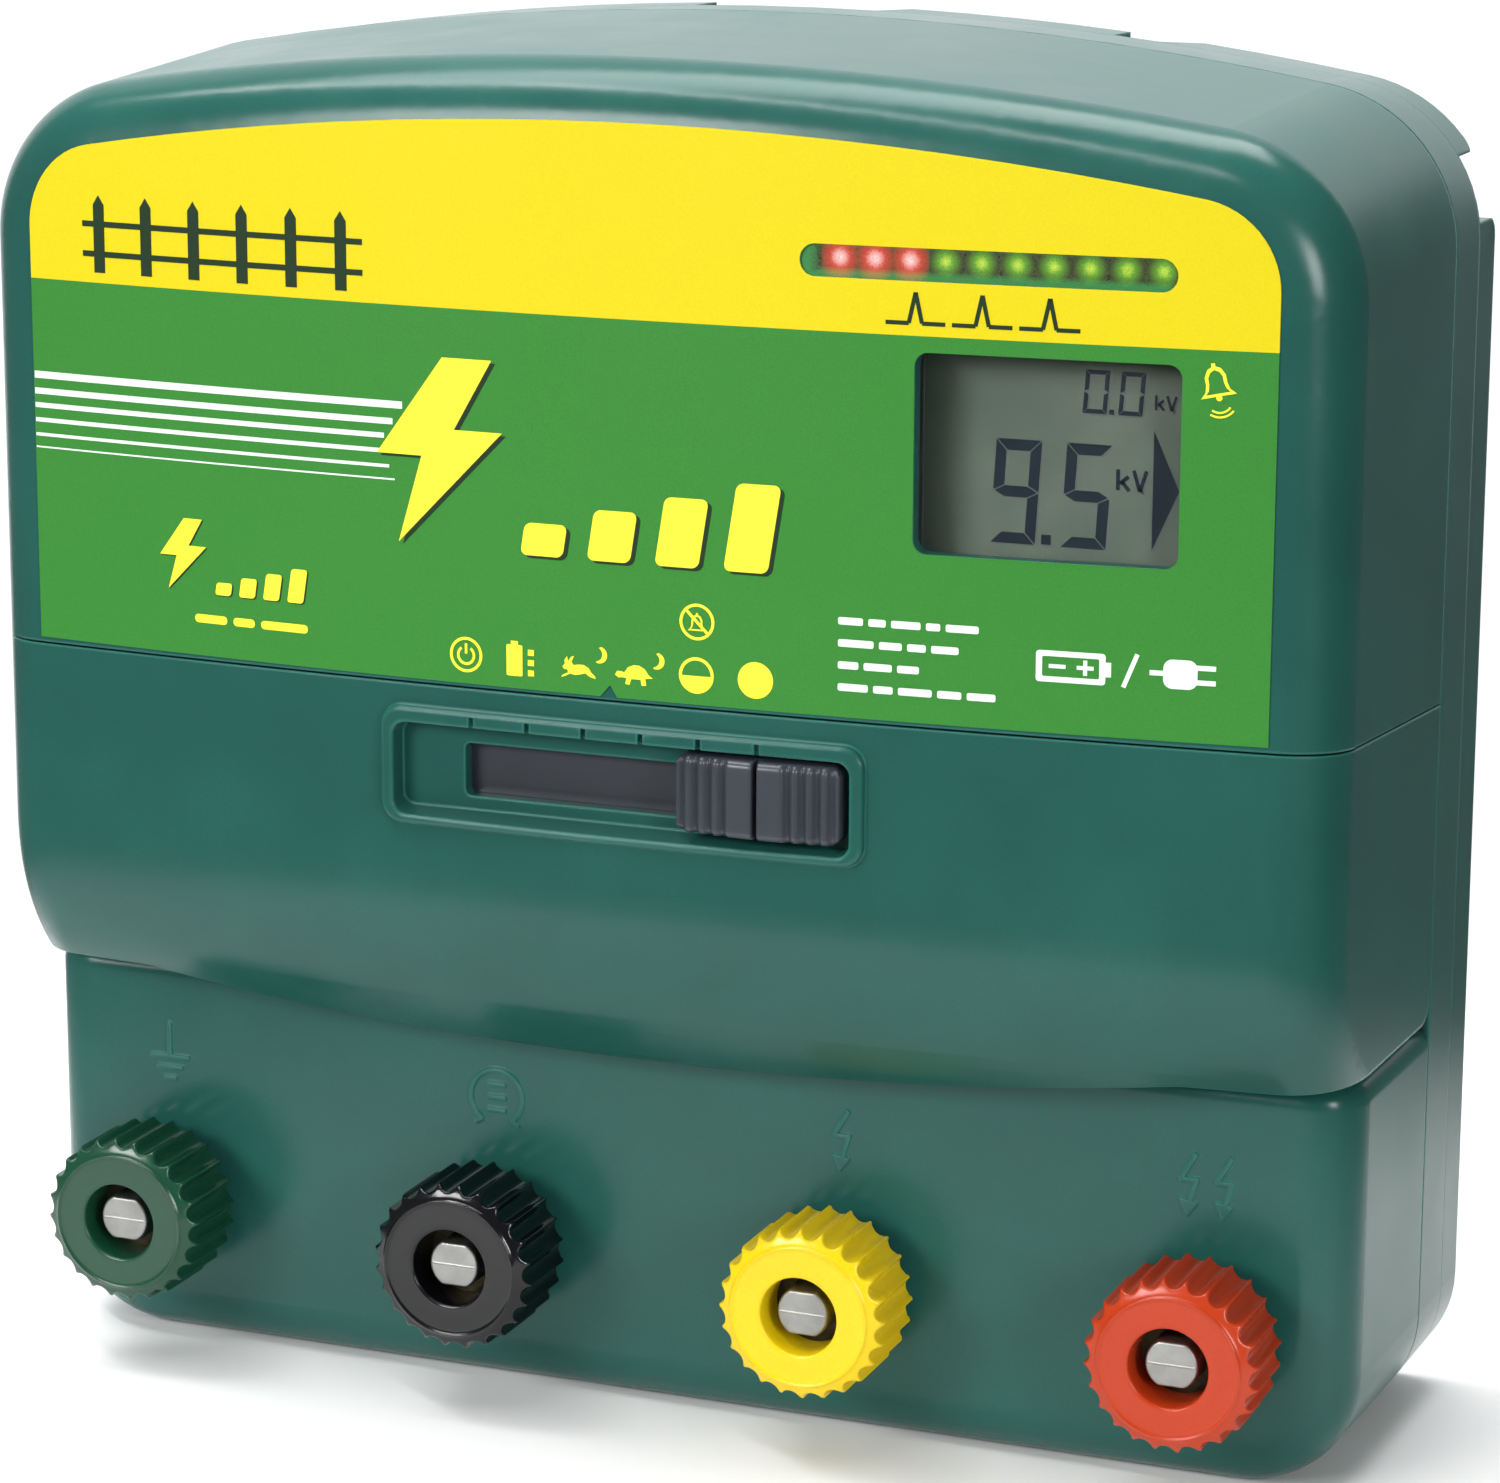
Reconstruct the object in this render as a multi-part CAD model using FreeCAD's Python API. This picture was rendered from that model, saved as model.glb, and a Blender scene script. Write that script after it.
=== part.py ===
import FreeCAD, Part
import math
import os

V = FreeCAD.Vector

# Frame (mm): X to the right, Y from front to back, Z up. The base is Z 0 and the middle is X 0.
# The sizes below are drawn with Y 0 a little in front of the middle, and export() moves each piece
# by ORIGIN_SHIFT_Y, so that Y 0 is the middle of the box round the part.
ORIGIN_SHIFT_Y = -1.6

# ---- case outline ----
SEAM_Y = 26.4            # plane where the front covers meet the rear shell
WALL_Y = 42.4            # outer face of the back wall
RIM_Y = 53.4             # end of the stand-off rim
RIM_THICK = 3.5
RIM_ROUND = 2.5          # rounding of the rim beside its corner gaps
STOCK_Y = -62.0          # well in front of every cover
HALF_WIDTH = 135.3       # half width at the seam
SIDE_DRAFT = 0.0366      # growth of the half width per mm towards the back
REAR_DRAFT = 0.022       # growth of the half width behind the seam
CROWN_Z = 263.9          # top of the arch at the seam
CROWN_DRAFT = 0.0577     # rise of the arch per mm towards the back
REAR_FALL = 0.022        # fall of the arch per mm behind the seam
ARCH_R = 650.0
CORNER_TOP_R = 30.0
CORNER_LOW_R = 22.0
WALL = 3.0
SEAM_GAP = 0.5           # visible groove between front covers and rear shell
BASE_TRIM = 0.02         # shaved off a loft's ruled underside, which leaves a true plane

# ---- bowed front ----
BOW_R = 1050.0
BOW_FRONT_Y = -47.6
BOW_AXIS_Y = BOW_FRONT_Y + BOW_R
FRONT_FILLET = 13.0

# ---- seams between the front covers ----
COVER_SEAM_Z = 145.3     # at the front
COVER_SEAM_SLOPE = -0.0554
COVER_GAP = 0.4
ROLL_R = 46.0            # roll-under of the switch band
ROLL_START_Z = 109.0
BAND_LOW_Z = 80.5
LIP_LOW_Z = 72.4         # lowest point of the arched lip that hangs in front of the terminal cover
LIP_ARCH_R = 675.0
LIP_BACK_Y = -21.4
LIP_SPARE = 0.5          # stock below the arch, so that the arch never touches its lower face
TERMINAL_FACE_Y = -20.6
TERMINAL_TOP_Z = 79.0
TERMINAL_FILLET = 10.0
TERMINAL_TOP_FILLET = 4.0
FLANGE = 8.0
FLANGE_Z = 75.0
TONGUE = 1.5
BAND_LEDGE_Y = -14.6

# ---- display, light bar and label ----
DISPLAY_X, DISPLAY_Z = 81.0, 194.3
DISPLAY_W, DISPLAY_H = 47.4, 35.7
DISPLAY_CORNER = 2.5
LIGHT_X, LIGHT_Z = 69.85, 227.4
LIGHT_W, LIGHT_H = 67.5, 5.8
LED_X0, LED_PITCH = 43.99, 6.35
LED_COUNT, LED_RED = 10, 3
LED_R = 1.8
LED_LIFT = 0.6           # height of the lights above the middle of their lens
LABEL_HALF = 121.2
LABEL_LOW_Z, LABEL_TOP_Z = 146.1, 249.8
LABEL_ARCH_R = 641.0
LABEL_CORNER = 16.0
LABEL_THICK = 0.25

# ---- slider ----
SLIDER_X, SLIDER_Z = 0.9, 129.0
STEP = 11.24             # pitch of the six positions
POSITIONS = 6
FRAME_X, FRAME_Z = 1.5, 129.8
FRAME_HALF_W, FRAME_HALF_H = 47.5, 11.1
FRAME_PROUD = 1.5
FRAME_CORNER = 4.0
FRAME_EDGE_R = 0.8
RECESS_LEFT, RECESS_RIGHT = -43.5, 46.4
RECESS_LOW_Z, RECESS_HIGH_Z = 121.3, 137.6
LOW_DRAFT, HIGH_DRAFT = 0.2, 0.07    # how far the recess opens per mm towards the front
RECESS_CORNER = 2.6
RECESS_EDGE_R = 0.5
RECESS_Y = -43.6
FLOOR_BACK_Y = -40.6
SLOT_HALF_W, SLOT_HALF_H = 31.7, 5.0
NOTCH_W, NOTCH_DEEP = 1.0, 1.3
GRIP_X, GRIP_Z = SLIDER_X + 2.5 * STEP, 129.7
GRIP_HALF_W, GRIP_HALF_H = 15.9, 7.25
GRIP_FRONT_Y, GRIP_BACK_Y = -50.2, -43.9
GRIP_SWELL = 1.3
GRIP_CORNER, GRIP_EDGE_R = 2.2, 1.4
RIB_START, RIB_PITCH, RIB_DEPTH = 4.9, 2.75, 1.0
NECK_W, NECK_H = 3.0, 8.0
STRIP_Y0, STRIP_Y1 = -40.4, -38.9
STRIP_X0, STRIP_X1 = -33.0, 90.0
STRIP_HALF_H = 6.0

# ---- terminals ----
KNOB_Z = 31.0
KNOB_PITCH = 71.0
KNOB_COLOURS = ("green", "black", "yellow", "red")
KNOB_TIP_R = 16.6
KNOB_BACK_Y, KNOB_FRONT_Y = -25.3, -43.4
KNOB_HOLE_R = 7.5
KNOB_FACE_R = 13.3
FLUTES = 24
FLUTE_R = 2.0
INSERT_AF, INSERT_LEN = 15.0, 9.0
STUD_R = 5.0
STUD_FLATS = 8.6
STUD_END_Y = -40.9
THREAD_CLEARANCE = 0.06

# ---- boards and fasteners ----
POSTS = ((116.0, 234.0), (124.0, 105.0), (118.0, 16.0))
POST_R = 5.0
DISPLAY_BOARD_POSTS = ((98.0, 238.0), (98.0, 156.0))
DISPLAY_BOARD_Y = -30.0
MAIN_BOARD_POSTS = ((100.0, 232.0), (100.0, 54.0))
MAIN_BOARD_Y = 20.0
BOARD_THICK = 1.6
KEYHOLES_X, KEYHOLES_Z = 75.0, 205.0
INLET_X, INLET_Y = -71.0, 4.0


# ---------------------------------------------------------------- helpers
def box(x0, x1, y0, y1, z0, z1):
    return Part.makeBox(x1 - x0, y1 - y0, z1 - z0, V(x0, y0, z0))


def rod(x, y0, y1, z, radius):
    """Cylinder along Y from y0 to y1."""
    return Part.makeCylinder(radius, y1 - y0, V(x, y0, z), V(0, 1, 0))


def post(x, y, z0, z1, radius):
    """Cylinder along Z from z0 to z1."""
    return Part.makeCylinder(radius, z1 - z0, V(x, y, z0), V(0, 0, 1))


def prism(points, y0, y1):
    """Polygon of (x, z) points pushed along Y."""
    corners = [V(x, y0, z) for x, z in points]
    return Part.Face(Part.makePolygon(corners + corners[:1])).extrude(V(0, y1 - y0, 0))


def hexagon(x, y0, y1, z, across_flats):
    radius = across_flats / math.sqrt(3.0)
    angles = [math.radians(60 * i) for i in range(6)]
    return prism([(x + radius * math.cos(a), z + radius * math.sin(a)) for a in angles], y0, y1)


def rounded_panel(x, z, width, height, corner, y0, y1):
    """Rectangle with rounded corners in the XZ plane, pushed along Y."""
    block = box(x - width / 2, x + width / 2, y0, y1, z - height / 2, z + height / 2)
    upright = [e for e in block.Edges if abs(e.Vertexes[0].Y - e.Vertexes[1].Y) > (y1 - y0) / 2]
    return block.makeFillet(corner, upright)


def fuse(shapes):
    return shapes[0].multiFuse(shapes[1:]).removeSplitter()


def both_sides(points):
    return [(side * x, z) for x, z in points for side in (-1, 1)]


def knob_x(index):
    return (index - 1.5) * KNOB_PITCH


def export(name, shape):
    solids = shape.Solids
    result = solids[0].copy() if len(solids) == 1 else Part.makeCompound(solids)
    result.translate(V(0, ORIGIN_SHIFT_Y, 0))
    if not result.isValid():
        raise ValueError(name + " is not a valid shape")
    result.exportStep(os.path.join("parts", name + ".step"))
    print(name, len(solids), "solids", round(result.Volume))


# ---------------------------------------------------------------- case stock
def outline(y, inset, half, top):
    """Closed outline of the case at depth y: flat base, straight sides, arched top."""
    half = half - inset
    arch_r = ARCH_R - inset
    top_r = CORNER_TOP_R - inset
    low_r = CORNER_LOW_R - inset
    arch_z = top - ARCH_R
    centre_x = half - top_r
    centre_z = arch_z + math.sqrt((arch_r - top_r) ** 2 - centre_x ** 2)
    reach = arch_r / (arch_r - top_r)
    join_x = centre_x * reach
    join_z = arch_z + (centre_z - arch_z) * reach
    lean = math.atan2(centre_x, centre_z - arch_z)
    middle = lean + (math.pi / 2 - lean) / 2
    corner_x = centre_x + top_r * math.sin(middle)
    corner_z = centre_z + top_r * math.cos(middle)
    low_x = half - low_r
    low_side = low_r * (1 - math.sqrt(0.5))
    base = inset - BASE_TRIM

    def p(x, z):
        return V(x, y, z)

    edges = [
        Part.LineSegment(p(-low_x, base), p(low_x, base)),
        Part.Arc(p(low_x, base), p(half - low_side, base + low_side), p(half, base + low_r)),
        Part.LineSegment(p(half, base + low_r), p(half, centre_z)),
        Part.Arc(p(half, centre_z), p(corner_x, corner_z), p(join_x, join_z)),
        Part.Arc(p(join_x, join_z), p(0, arch_z + arch_r), p(-join_x, join_z)),
        Part.Arc(p(-join_x, join_z), p(-corner_x, corner_z), p(-half, centre_z)),
        Part.LineSegment(p(-half, centre_z), p(-half, base + low_r)),
        Part.Arc(p(-half, base + low_r), p(low_side - half, base + low_side), p(-low_x, base)),
    ]
    return Part.Wire([edge.toShape() for edge in edges])


def lofted(wires, inset):
    """Solid between two outlines, with its underside trimmed to a plane."""
    block = Part.makeLoft(wires, True, True)
    return block.cut(box(-200, 200, STOCK_Y - 1, RIM_Y + 10, inset - 5, inset))


def front_stock(inset, y0=STOCK_Y, y1=SEAM_Y):
    """Drafted block behind which every front cover is cut."""
    wires = []
    for y in (y0, y1):
        half = HALF_WIDTH + SIDE_DRAFT * (y - SEAM_Y)
        top = CROWN_Z + CROWN_DRAFT * (y - SEAM_Y)
        wires.append(outline(y, inset, half, top))
    return lofted(wires, inset)


def rear_stock(inset, y0, y1):
    wires = []
    for y in (y0, y1):
        half = HALF_WIDTH + REAR_DRAFT * (y - SEAM_Y)
        top = CROWN_Z - REAR_FALL * (y - SEAM_Y)
        wires.append(outline(y, inset, half, top))
    return lofted(wires, inset)


def bow_cylinder(radius, z0=-5.0, z1=300.0):
    return Part.makeCylinder(radius, z1 - z0, V(0, BOW_AXIS_Y, z0))


def bow_shell(inner, outer, panel):
    """The part of a panel that lies between two radii of the bowed front."""
    return panel.common(bow_cylinder(outer)).cut(bow_cylinder(inner))


def bow_radius(point):
    return math.hypot(point.x, point.y - BOW_AXIS_Y)


def mid_point(edge):
    return edge.valueAt((edge.FirstParameter + edge.LastParameter) / 2)


def seam_half_space(offset, above):
    """Everything above (or below) the sloping seam between upper cover and switch band."""
    z_front = COVER_SEAM_Z + offset + COVER_SEAM_SLOPE * (STOCK_Y - BOW_FRONT_Y)
    z_back = COVER_SEAM_Z + offset + COVER_SEAM_SLOPE * (60.0 - BOW_FRONT_Y)
    far = 400.0 if above else -100.0
    points = [V(-200, STOCK_Y, z_front), V(-200, 60, z_back), V(-200, 60, far), V(-200, STOCK_Y, far)]
    return Part.Face(Part.makePolygon(points + points[:1])).extrude(V(400, 0, 0))


def upper_block(inset, offset, y1=SEAM_Y):
    block = front_stock(inset, y1=y1).common(bow_cylinder(BOW_R - inset))
    block = block.common(seam_half_space(offset, True))
    front = [e for e in block.Edges if on_bow(e, inset) and mid_point(e).z > COVER_SEAM_Z + 5]
    return block.makeFillet(FRONT_FILLET - inset, front)


def on_bow(edge, inset):
    ends = [v.Point for v in edge.Vertexes] + [mid_point(edge)]
    return all(abs(bow_radius(p) - (BOW_R - inset)) < 0.01 for p in ends)


def roll_stock(inset):
    """Bowed front that rolls under towards its lower edge, as a sector round the bow axis."""
    low_z = BAND_LOW_Z - 12.0
    arc_r = ROLL_R - inset
    swing = math.asin(min(0.999, (ROLL_START_Z - low_z) / arc_r))
    centre_r = BOW_R - ROLL_R
    low_r = centre_r + arc_r * math.cos(swing)
    start = math.radians(-100)

    def p(radius, z):
        return V(radius * math.cos(start), BOW_AXIS_Y + radius * math.sin(start), z)

    middle = p(centre_r + arc_r * math.cos(swing / 2), ROLL_START_Z - arc_r * math.sin(swing / 2))
    end = p(low_r, ROLL_START_Z - arc_r * math.sin(swing))
    back_r = BOW_R - 140.0
    edges = [
        Part.LineSegment(p(BOW_R - inset, 200), p(BOW_R - inset, ROLL_START_Z)),
        Part.Arc(p(BOW_R - inset, ROLL_START_Z), middle, end),
        Part.LineSegment(end, p(back_r, end.z)),
        Part.LineSegment(p(back_r, end.z), p(back_r, 200)),
        Part.LineSegment(p(back_r, 200), p(BOW_R - inset, 200)),
    ]
    face = Part.Face(Part.Wire([edge.toShape() for edge in edges]))
    return face.revolve(V(0, BOW_AXIS_Y, 0), V(0, 0, 1), 20)


def band_block(inset, offset, low_z, y1=SEAM_Y):
    block = front_stock(inset, y1=y1).common(roll_stock(inset))
    block = block.common(seam_half_space(offset, False))
    block = block.common(box(-200, 200, -100, 100, low_z, 200))
    sides = []
    for edge in block.Edges:
        middle = mid_point(edge)
        length_z = abs(edge.Vertexes[0].Z - edge.Vertexes[-1].Z)
        if length_z > 5 and abs(middle.x) > 120 and middle.y < 0:
            sides.append(edge)
    return block.makeFillet(FRONT_FILLET - inset, sides)


def terminal_block(inset, top_z, y1=SEAM_Y):
    face_y = TERMINAL_FACE_Y + inset
    block = front_stock(inset, y1=y1).common(box(-200, 200, face_y, 100, -10, top_z))
    front = []
    for edge in block.Edges:
        points = [v.Point for v in edge.Vertexes] + [mid_point(edge)]
        at_face = all(abs(p.y - face_y) < 0.01 for p in points)
        if at_face and mid_point(edge).z < top_z - 0.5:
            front.append(edge)
    return block.makeFillet(max(TERMINAL_FILLET - inset, 1.0), front)


# ---------------------------------------------------------------- housing
def case_boss(x, z, block):
    boss = rod(x, -60.0, SEAM_Y - SEAM_GAP / 2, z, POST_R).common(block)
    return boss.cut(rod(x, 11.0, SEAM_Y + 1, z, 2.0))


def upper_cover():
    outer = upper_block(0.0, COVER_GAP / 2, SEAM_Y - SEAM_GAP / 2)
    shell = outer.cut(upper_block(WALL, -8.0, SEAM_Y + 6))
    inside = upper_block(1.0, COVER_GAP / 2 + 1, SEAM_Y - SEAM_GAP / 2)
    bosses = [case_boss(x, z, inside) for x, z in both_sides(POSTS[:1])]
    for x, z in both_sides(DISPLAY_BOARD_POSTS):
        stand = rod(x, -60.0, DISPLAY_BOARD_Y, z, 3.5).common(inside)
        bosses.append(stand.cut(rod(x, -37.0, DISPLAY_BOARD_Y + 1, z, 1.5)))
    shell = fuse([shell] + bosses)
    shell = shell.cut(display_hole(0.0, -60.0, -35.0))
    return shell.cut(light_hole(0.0, -60.0, -35.0))


def display_hole(grow, y0, y1):
    return rounded_panel(DISPLAY_X, DISPLAY_Z, DISPLAY_W + 2 * grow, DISPLAY_H + 2 * grow,
                         DISPLAY_CORNER + grow, y0, y1)


def light_hole(grow, y0, y1):
    height = LIGHT_H + 2 * grow
    return rounded_panel(LIGHT_X, LIGHT_Z, LIGHT_W + 2 * grow, height, height / 2 - 0.01, y0, y1)


def switch_band():
    end_y = SEAM_Y - SEAM_GAP / 2
    outer = band_block(0.0, -COVER_GAP / 2, BAND_LOW_Z, end_y)
    corner = [e for e in outer.Edges if band_rear_corner(e, end_y)]
    outer = outer.makeFillet(5.0, corner)
    shell = outer.cut(band_block(WALL, 8.0, BAND_LOW_Z + WALL, SEAM_Y + 6))
    half = HALF_WIDTH - FLANGE - TONGUE
    shell = shell.cut(box(-half, half, BAND_LEDGE_Y, SEAM_Y + 1, BAND_LOW_Z - 1, BAND_LOW_Z + WALL + 1))
    inside = band_block(1.0, -1.0, BAND_LOW_Z + 1, end_y)
    bosses = [case_boss(x, z, inside) for x, z in both_sides(POSTS[1:2])]
    shell = fuse([shell, upper_tongue(), lower_tongue(), front_lip(0.0, LIP_BACK_Y)] + bosses)
    return slider_opening(shell.cut(front_lip(WALL, LIP_BACK_Y - WALL)))


def front_lip(inset, back_y):
    """Arched lip under the band; with an inset it is the hollow inside the lip."""
    low_z = LIP_LOW_Z - LIP_SPARE
    block = band_block(inset, -1.0, low_z)
    arch = rod(0, STOCK_Y, back_y, LIP_LOW_Z + LIP_ARCH_R, LIP_ARCH_R - inset)
    return block.common(box(-200, 200, STOCK_Y, back_y, low_z, BAND_LOW_Z + 0.9 * WALL + inset)).common(arch)


def band_rear_corner(edge, end_y):
    """Lower back edge of the band."""
    return all(abs(v.Y - end_y) < 0.1 and abs(v.Z - BAND_LOW_Z) < 0.1 for v in edge.Vertexes)


def upper_tongue():
    """Lip that reaches up inside the upper cover."""
    end_y = SEAM_Y - 4.0
    ring = tall_front(WALL, end_y).cut(tall_front(WALL + TONGUE, end_y + 5))
    return ring.common(seam_half_space(4.0, False)).common(seam_half_space(-5.0, True))


def tall_front(inset, y1):
    """Straight bowed front without roll, used for lips near the sloping seam."""
    block = front_stock(inset, y1=y1).common(bow_cylinder(BOW_R - inset))
    block = block.common(box(-200, 200, -100, 100, 120, 175))
    upright = []
    for edge in block.Edges:
        middle = mid_point(edge)
        if abs(edge.Vertexes[0].Z - edge.Vertexes[-1].Z) > 50 and middle.y < 0 and abs(middle.x) > 100:
            upright.append(edge)
    return block.makeFillet(FRONT_FILLET - inset, upright)


def lower_tongue():
    """Lip that reaches down inside the flange of the terminal cover."""
    end_y = SEAM_Y - 4.0
    ring = terminal_block(FLANGE, 90, end_y).cut(terminal_block(FLANGE + TONGUE, 91, end_y + 5))
    return ring.common(box(-200, 200, -100, 100, FLANGE_Z, BAND_LOW_Z + 1))


def slider_opening(shell):
    """Raised frame, drafted recess, slot and position notches of the slider."""
    low_z, high_z = SLIDER_Z - STRIP_HALF_H, SLIDER_Z + STRIP_HALF_H
    rails = [
        box(-92, 92, -41.5, -37.4, low_z - 1.7, low_z - 0.3),
        box(-92, 92, -38.6, -37.4, low_z - 1.0, low_z + 0.9),
        box(-92, 92, -41.5, -38.6, high_z + 0.3, high_z + 1.7),
    ]
    recess = slider_recess()
    shell = fuse([shell] + rails).cut(recess)
    shell = fuse([shell, slider_frame(recess)])
    slot = rounded_panel(SLIDER_X, SLIDER_Z, 2 * SLOT_HALF_W, 2 * SLOT_HALF_H, 1.2, -60.0, -40.0)
    notches = []
    for i in range(POSITIONS):
        x = SLIDER_X + (i - 2.5) * STEP
        notches.append(box(x - NOTCH_W / 2, x + NOTCH_W / 2, -60.0, BOW_FRONT_Y - FRAME_PROUD + NOTCH_DEEP,
                           RECESS_HIGH_Z - 0.5, FRAME_Z + FRAME_HALF_H - 0.9))
    return shell.cut(fuse([slot] + notches))


def recess_outline(y):
    """Left, right, low and high side of the slider recess at depth y."""
    depth = RECESS_Y - y
    return RECESS_LEFT, RECESS_RIGHT, RECESS_LOW_Z - LOW_DRAFT * depth, RECESS_HIGH_Z + HIGH_DRAFT * depth


def slider_recess():
    wires = []
    for y in (STOCK_Y, RECESS_Y):
        x0, x1, z0, z1 = recess_outline(y)
        plate = rounded_panel((x0 + x1) / 2, (z0 + z1) / 2, x1 - x0, z1 - z0, RECESS_CORNER, y - 1.0, y)
        wires += [face.OuterWire for face in plate.Faces if abs(face.CenterOfMass.y - y) < 0.001]
    return Part.makeLoft(wires, True, True)


def outline_gap(point, x0, x1, z0, z1, corner):
    """Distance from a point to the outline of the rounded rectangle round it."""
    reach_x = min(point.x - x0, x1 - point.x)
    reach_z = min(point.z - z0, z1 - point.z)
    if reach_x < corner and reach_z < corner:
        return abs(corner - math.hypot(corner - reach_x, corner - reach_z))
    return min(reach_x, reach_z)


def slider_frame(recess):
    """Frame with a floor of its own, rounded along its front edges."""
    sides = (FRAME_X - FRAME_HALF_W, FRAME_X + FRAME_HALF_W, FRAME_Z - FRAME_HALF_H, FRAME_Z + FRAME_HALF_H)
    block = rounded_panel(FRAME_X, FRAME_Z, 2 * FRAME_HALF_W, 2 * FRAME_HALF_H, FRAME_CORNER, STOCK_Y, FLOOR_BACK_Y)
    block = block.common(bow_cylinder(BOW_R + FRAME_PROUD)).cut(recess)
    inner = []
    for edge in block.Edges:
        middle = mid_point(edge)
        gap = outline_gap(middle, *recess_outline(middle.y), RECESS_CORNER)
        if on_bow(edge, -FRAME_PROUD) and abs(gap) < 0.05:
            inner.append(edge)
    block = block.makeFillet(RECESS_EDGE_R, inner)
    outer = [e for e in block.Edges if on_bow(e, -FRAME_PROUD) and outline_gap(mid_point(e), *sides, FRAME_CORNER) < 0.05]
    return block.makeFillet(FRAME_EDGE_R, outer)


def symbol_strokes(x, z):
    """Raised lines above each terminal, as lists of (x, z) corners per stroke."""
    return {
        "earth": [stroke((x, z + 7), (x, z)), stroke((x - 4.4, z), (x + 4.4, z)),
                  stroke((x - 2.9, z - 2.2), (x + 2.9, z - 2.2)),
                  stroke((x - 1.4, z - 4.4), (x + 1.4, z - 4.4))],
        "control": [stroke((x - 2, z + k), (x + 2, z + k)) for k in (-2.6, 0.0, 2.6)],
        "pulse": bolt(x, z),
    }


def stroke(start, end, width=0.9):
    (x0, z0), (x1, z1) = start, end
    length = math.hypot(x1 - x0, z1 - z0)
    nx, nz = -(z1 - z0) / length * width / 2, (x1 - x0) / length * width / 2
    return [(x0 + nx, z0 + nz), (x1 + nx, z1 + nz), (x1 - nx, z1 - nz), (x0 - nx, z0 - nz)]


def bolt(x, z):
    """Lightning arrow: two slanted lines, a step and an arrow head."""
    return [
        stroke((x + 1.4, z + 6.0), (x - 1.6, z + 0.9)),
        stroke((x - 1.9, z + 0.9), (x + 1.9, z + 0.9)),
        stroke((x + 1.5, z + 1.2), (x + 0.1, z - 3.6)),
        [(x - 1.8, z - 2.6), (x + 1.8, z - 3.4), (x - 0.3, z - 6.2)],
    ]


def raised(points):
    return prism(points, TERMINAL_FACE_Y - 0.45, TERMINAL_FACE_Y + 0.5)


def terminal_symbols():
    z = KNOB_Z + 27.5
    solids = [raised(s) for s in symbol_strokes(knob_x(0), z)["earth"]]
    solids += [raised(s) for s in symbol_strokes(knob_x(1), z)["control"]]
    solids += [raised(s) for s in symbol_strokes(knob_x(2), z)["pulse"]]
    for shift in (-3.4, 3.4):
        solids += [raised(s) for s in symbol_strokes(knob_x(3) + shift, z)["pulse"]]
    y0, y1 = TERMINAL_FACE_Y - 0.45, TERMINAL_FACE_Y + 0.5
    ring = rod(knob_x(1), y0, y1, z, 5.9).cut(rod(knob_x(1), y0 - 1, y1 + 1, z, 5.0))
    gap = prism([(knob_x(1), z), (knob_x(1) - 6, z - 9), (knob_x(1) + 6, z - 9)], y0 - 1, y1 + 1)
    solids.append(ring.cut(gap))
    for side in (-1, 1):
        foot = stroke((knob_x(1) + side * 2.9, z - 4.3), (knob_x(1) + side * 4.7, z - 5.4))
        solids.append(raised(foot))
    return solids


def terminal_cover():
    end_y = SEAM_Y - SEAM_GAP / 2
    outer = terminal_block(0.0, TERMINAL_TOP_Z, end_y)
    rim = []
    for edge in outer.Edges:
        points = [v.Point for v in edge.Vertexes] + [mid_point(edge)]
        on_top = all(abs(p.z - TERMINAL_TOP_Z) < 0.01 for p in points)
        if on_top and min(p.y for p in points) < end_y - 1:
            rim.append(edge)
    outer = outer.makeFillet(TERMINAL_TOP_FILLET, rim)
    cavity = terminal_block(WALL, FLANGE_Z, SEAM_Y + 6)
    mouth = terminal_block(FLANGE, TERMINAL_TOP_Z + 5, SEAM_Y + 6)
    shell = outer.cut(cavity).cut(mouth)
    inside = terminal_block(1.0, FLANGE_Z, end_y)
    bosses = [case_boss(x, z, inside) for x, z in both_sides(POSTS[2:])]
    shell = fuse([shell] + bosses + terminal_symbols())
    for i in range(len(KNOB_COLOURS)):
        shell = shell.cut(rod(knob_x(i), -30.0, 0.0, KNOB_Z, STUD_R))
    return shell.cut(post(INLET_X, INLET_Y, -1, WALL + 1, 11.0))


def rear_shell():
    start_y = SEAM_Y + SEAM_GAP / 2
    shell = rear_stock(0.0, start_y, WALL_Y)
    shell = shell.cut(rear_stock(WALL, start_y - 1, WALL_Y - WALL))
    tongue = front_tongue()
    posts = []
    for x, z in both_sides(POSTS):
        posts.append(rod(x, start_y, WALL_Y, z, POST_R + 1.0))
    for x, z in both_sides(MAIN_BOARD_POSTS):
        posts.append(rod(x, MAIN_BOARD_Y + BOARD_THICK, WALL_Y - 1, z, 3.5))
    pockets = [keyhole_boss(side * KEYHOLES_X) for side in (-1, 1)]
    shell = fuse([shell, tongue] + posts + pockets)
    cuts = []
    for x, z in both_sides(POSTS):
        cuts += [rod(x, start_y - 1, WALL_Y + 1, z, 2.2), rod(x, WALL_Y - 3.6, WALL_Y + 1, z, 4.2)]
    for x, z in both_sides(MAIN_BOARD_POSTS):
        cuts.append(rod(x, MAIN_BOARD_Y, MAIN_BOARD_Y + 11, z, 1.5))
    cuts += [keyhole(side * KEYHOLES_X) for side in (-1, 1)]
    return shell.cut(fuse(cuts))


def stand_off_rim():
    """Notched rim that holds the case clear of the wall."""
    rim = rear_stock(0.0, WALL_Y, RIM_Y).cut(rear_stock(RIM_THICK, WALL_Y - 1, RIM_Y + 1))
    rim = rim.cut(fuse(rim_notches()))
    ends = []
    for edge in rim.Edges:
        points = [v.Point for v in edge.Vertexes] + [mid_point(edge)]
        across = all(abs(p.y - RIM_Y) < 0.01 and 228 < p.z < 241 and abs(p.x) > 110 for p in points)
        if across and abs(points[0].z - points[1].z) < 0.01:
            ends.append(edge)
    return rim.makeFillet(RIM_ROUND, ends)


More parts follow.
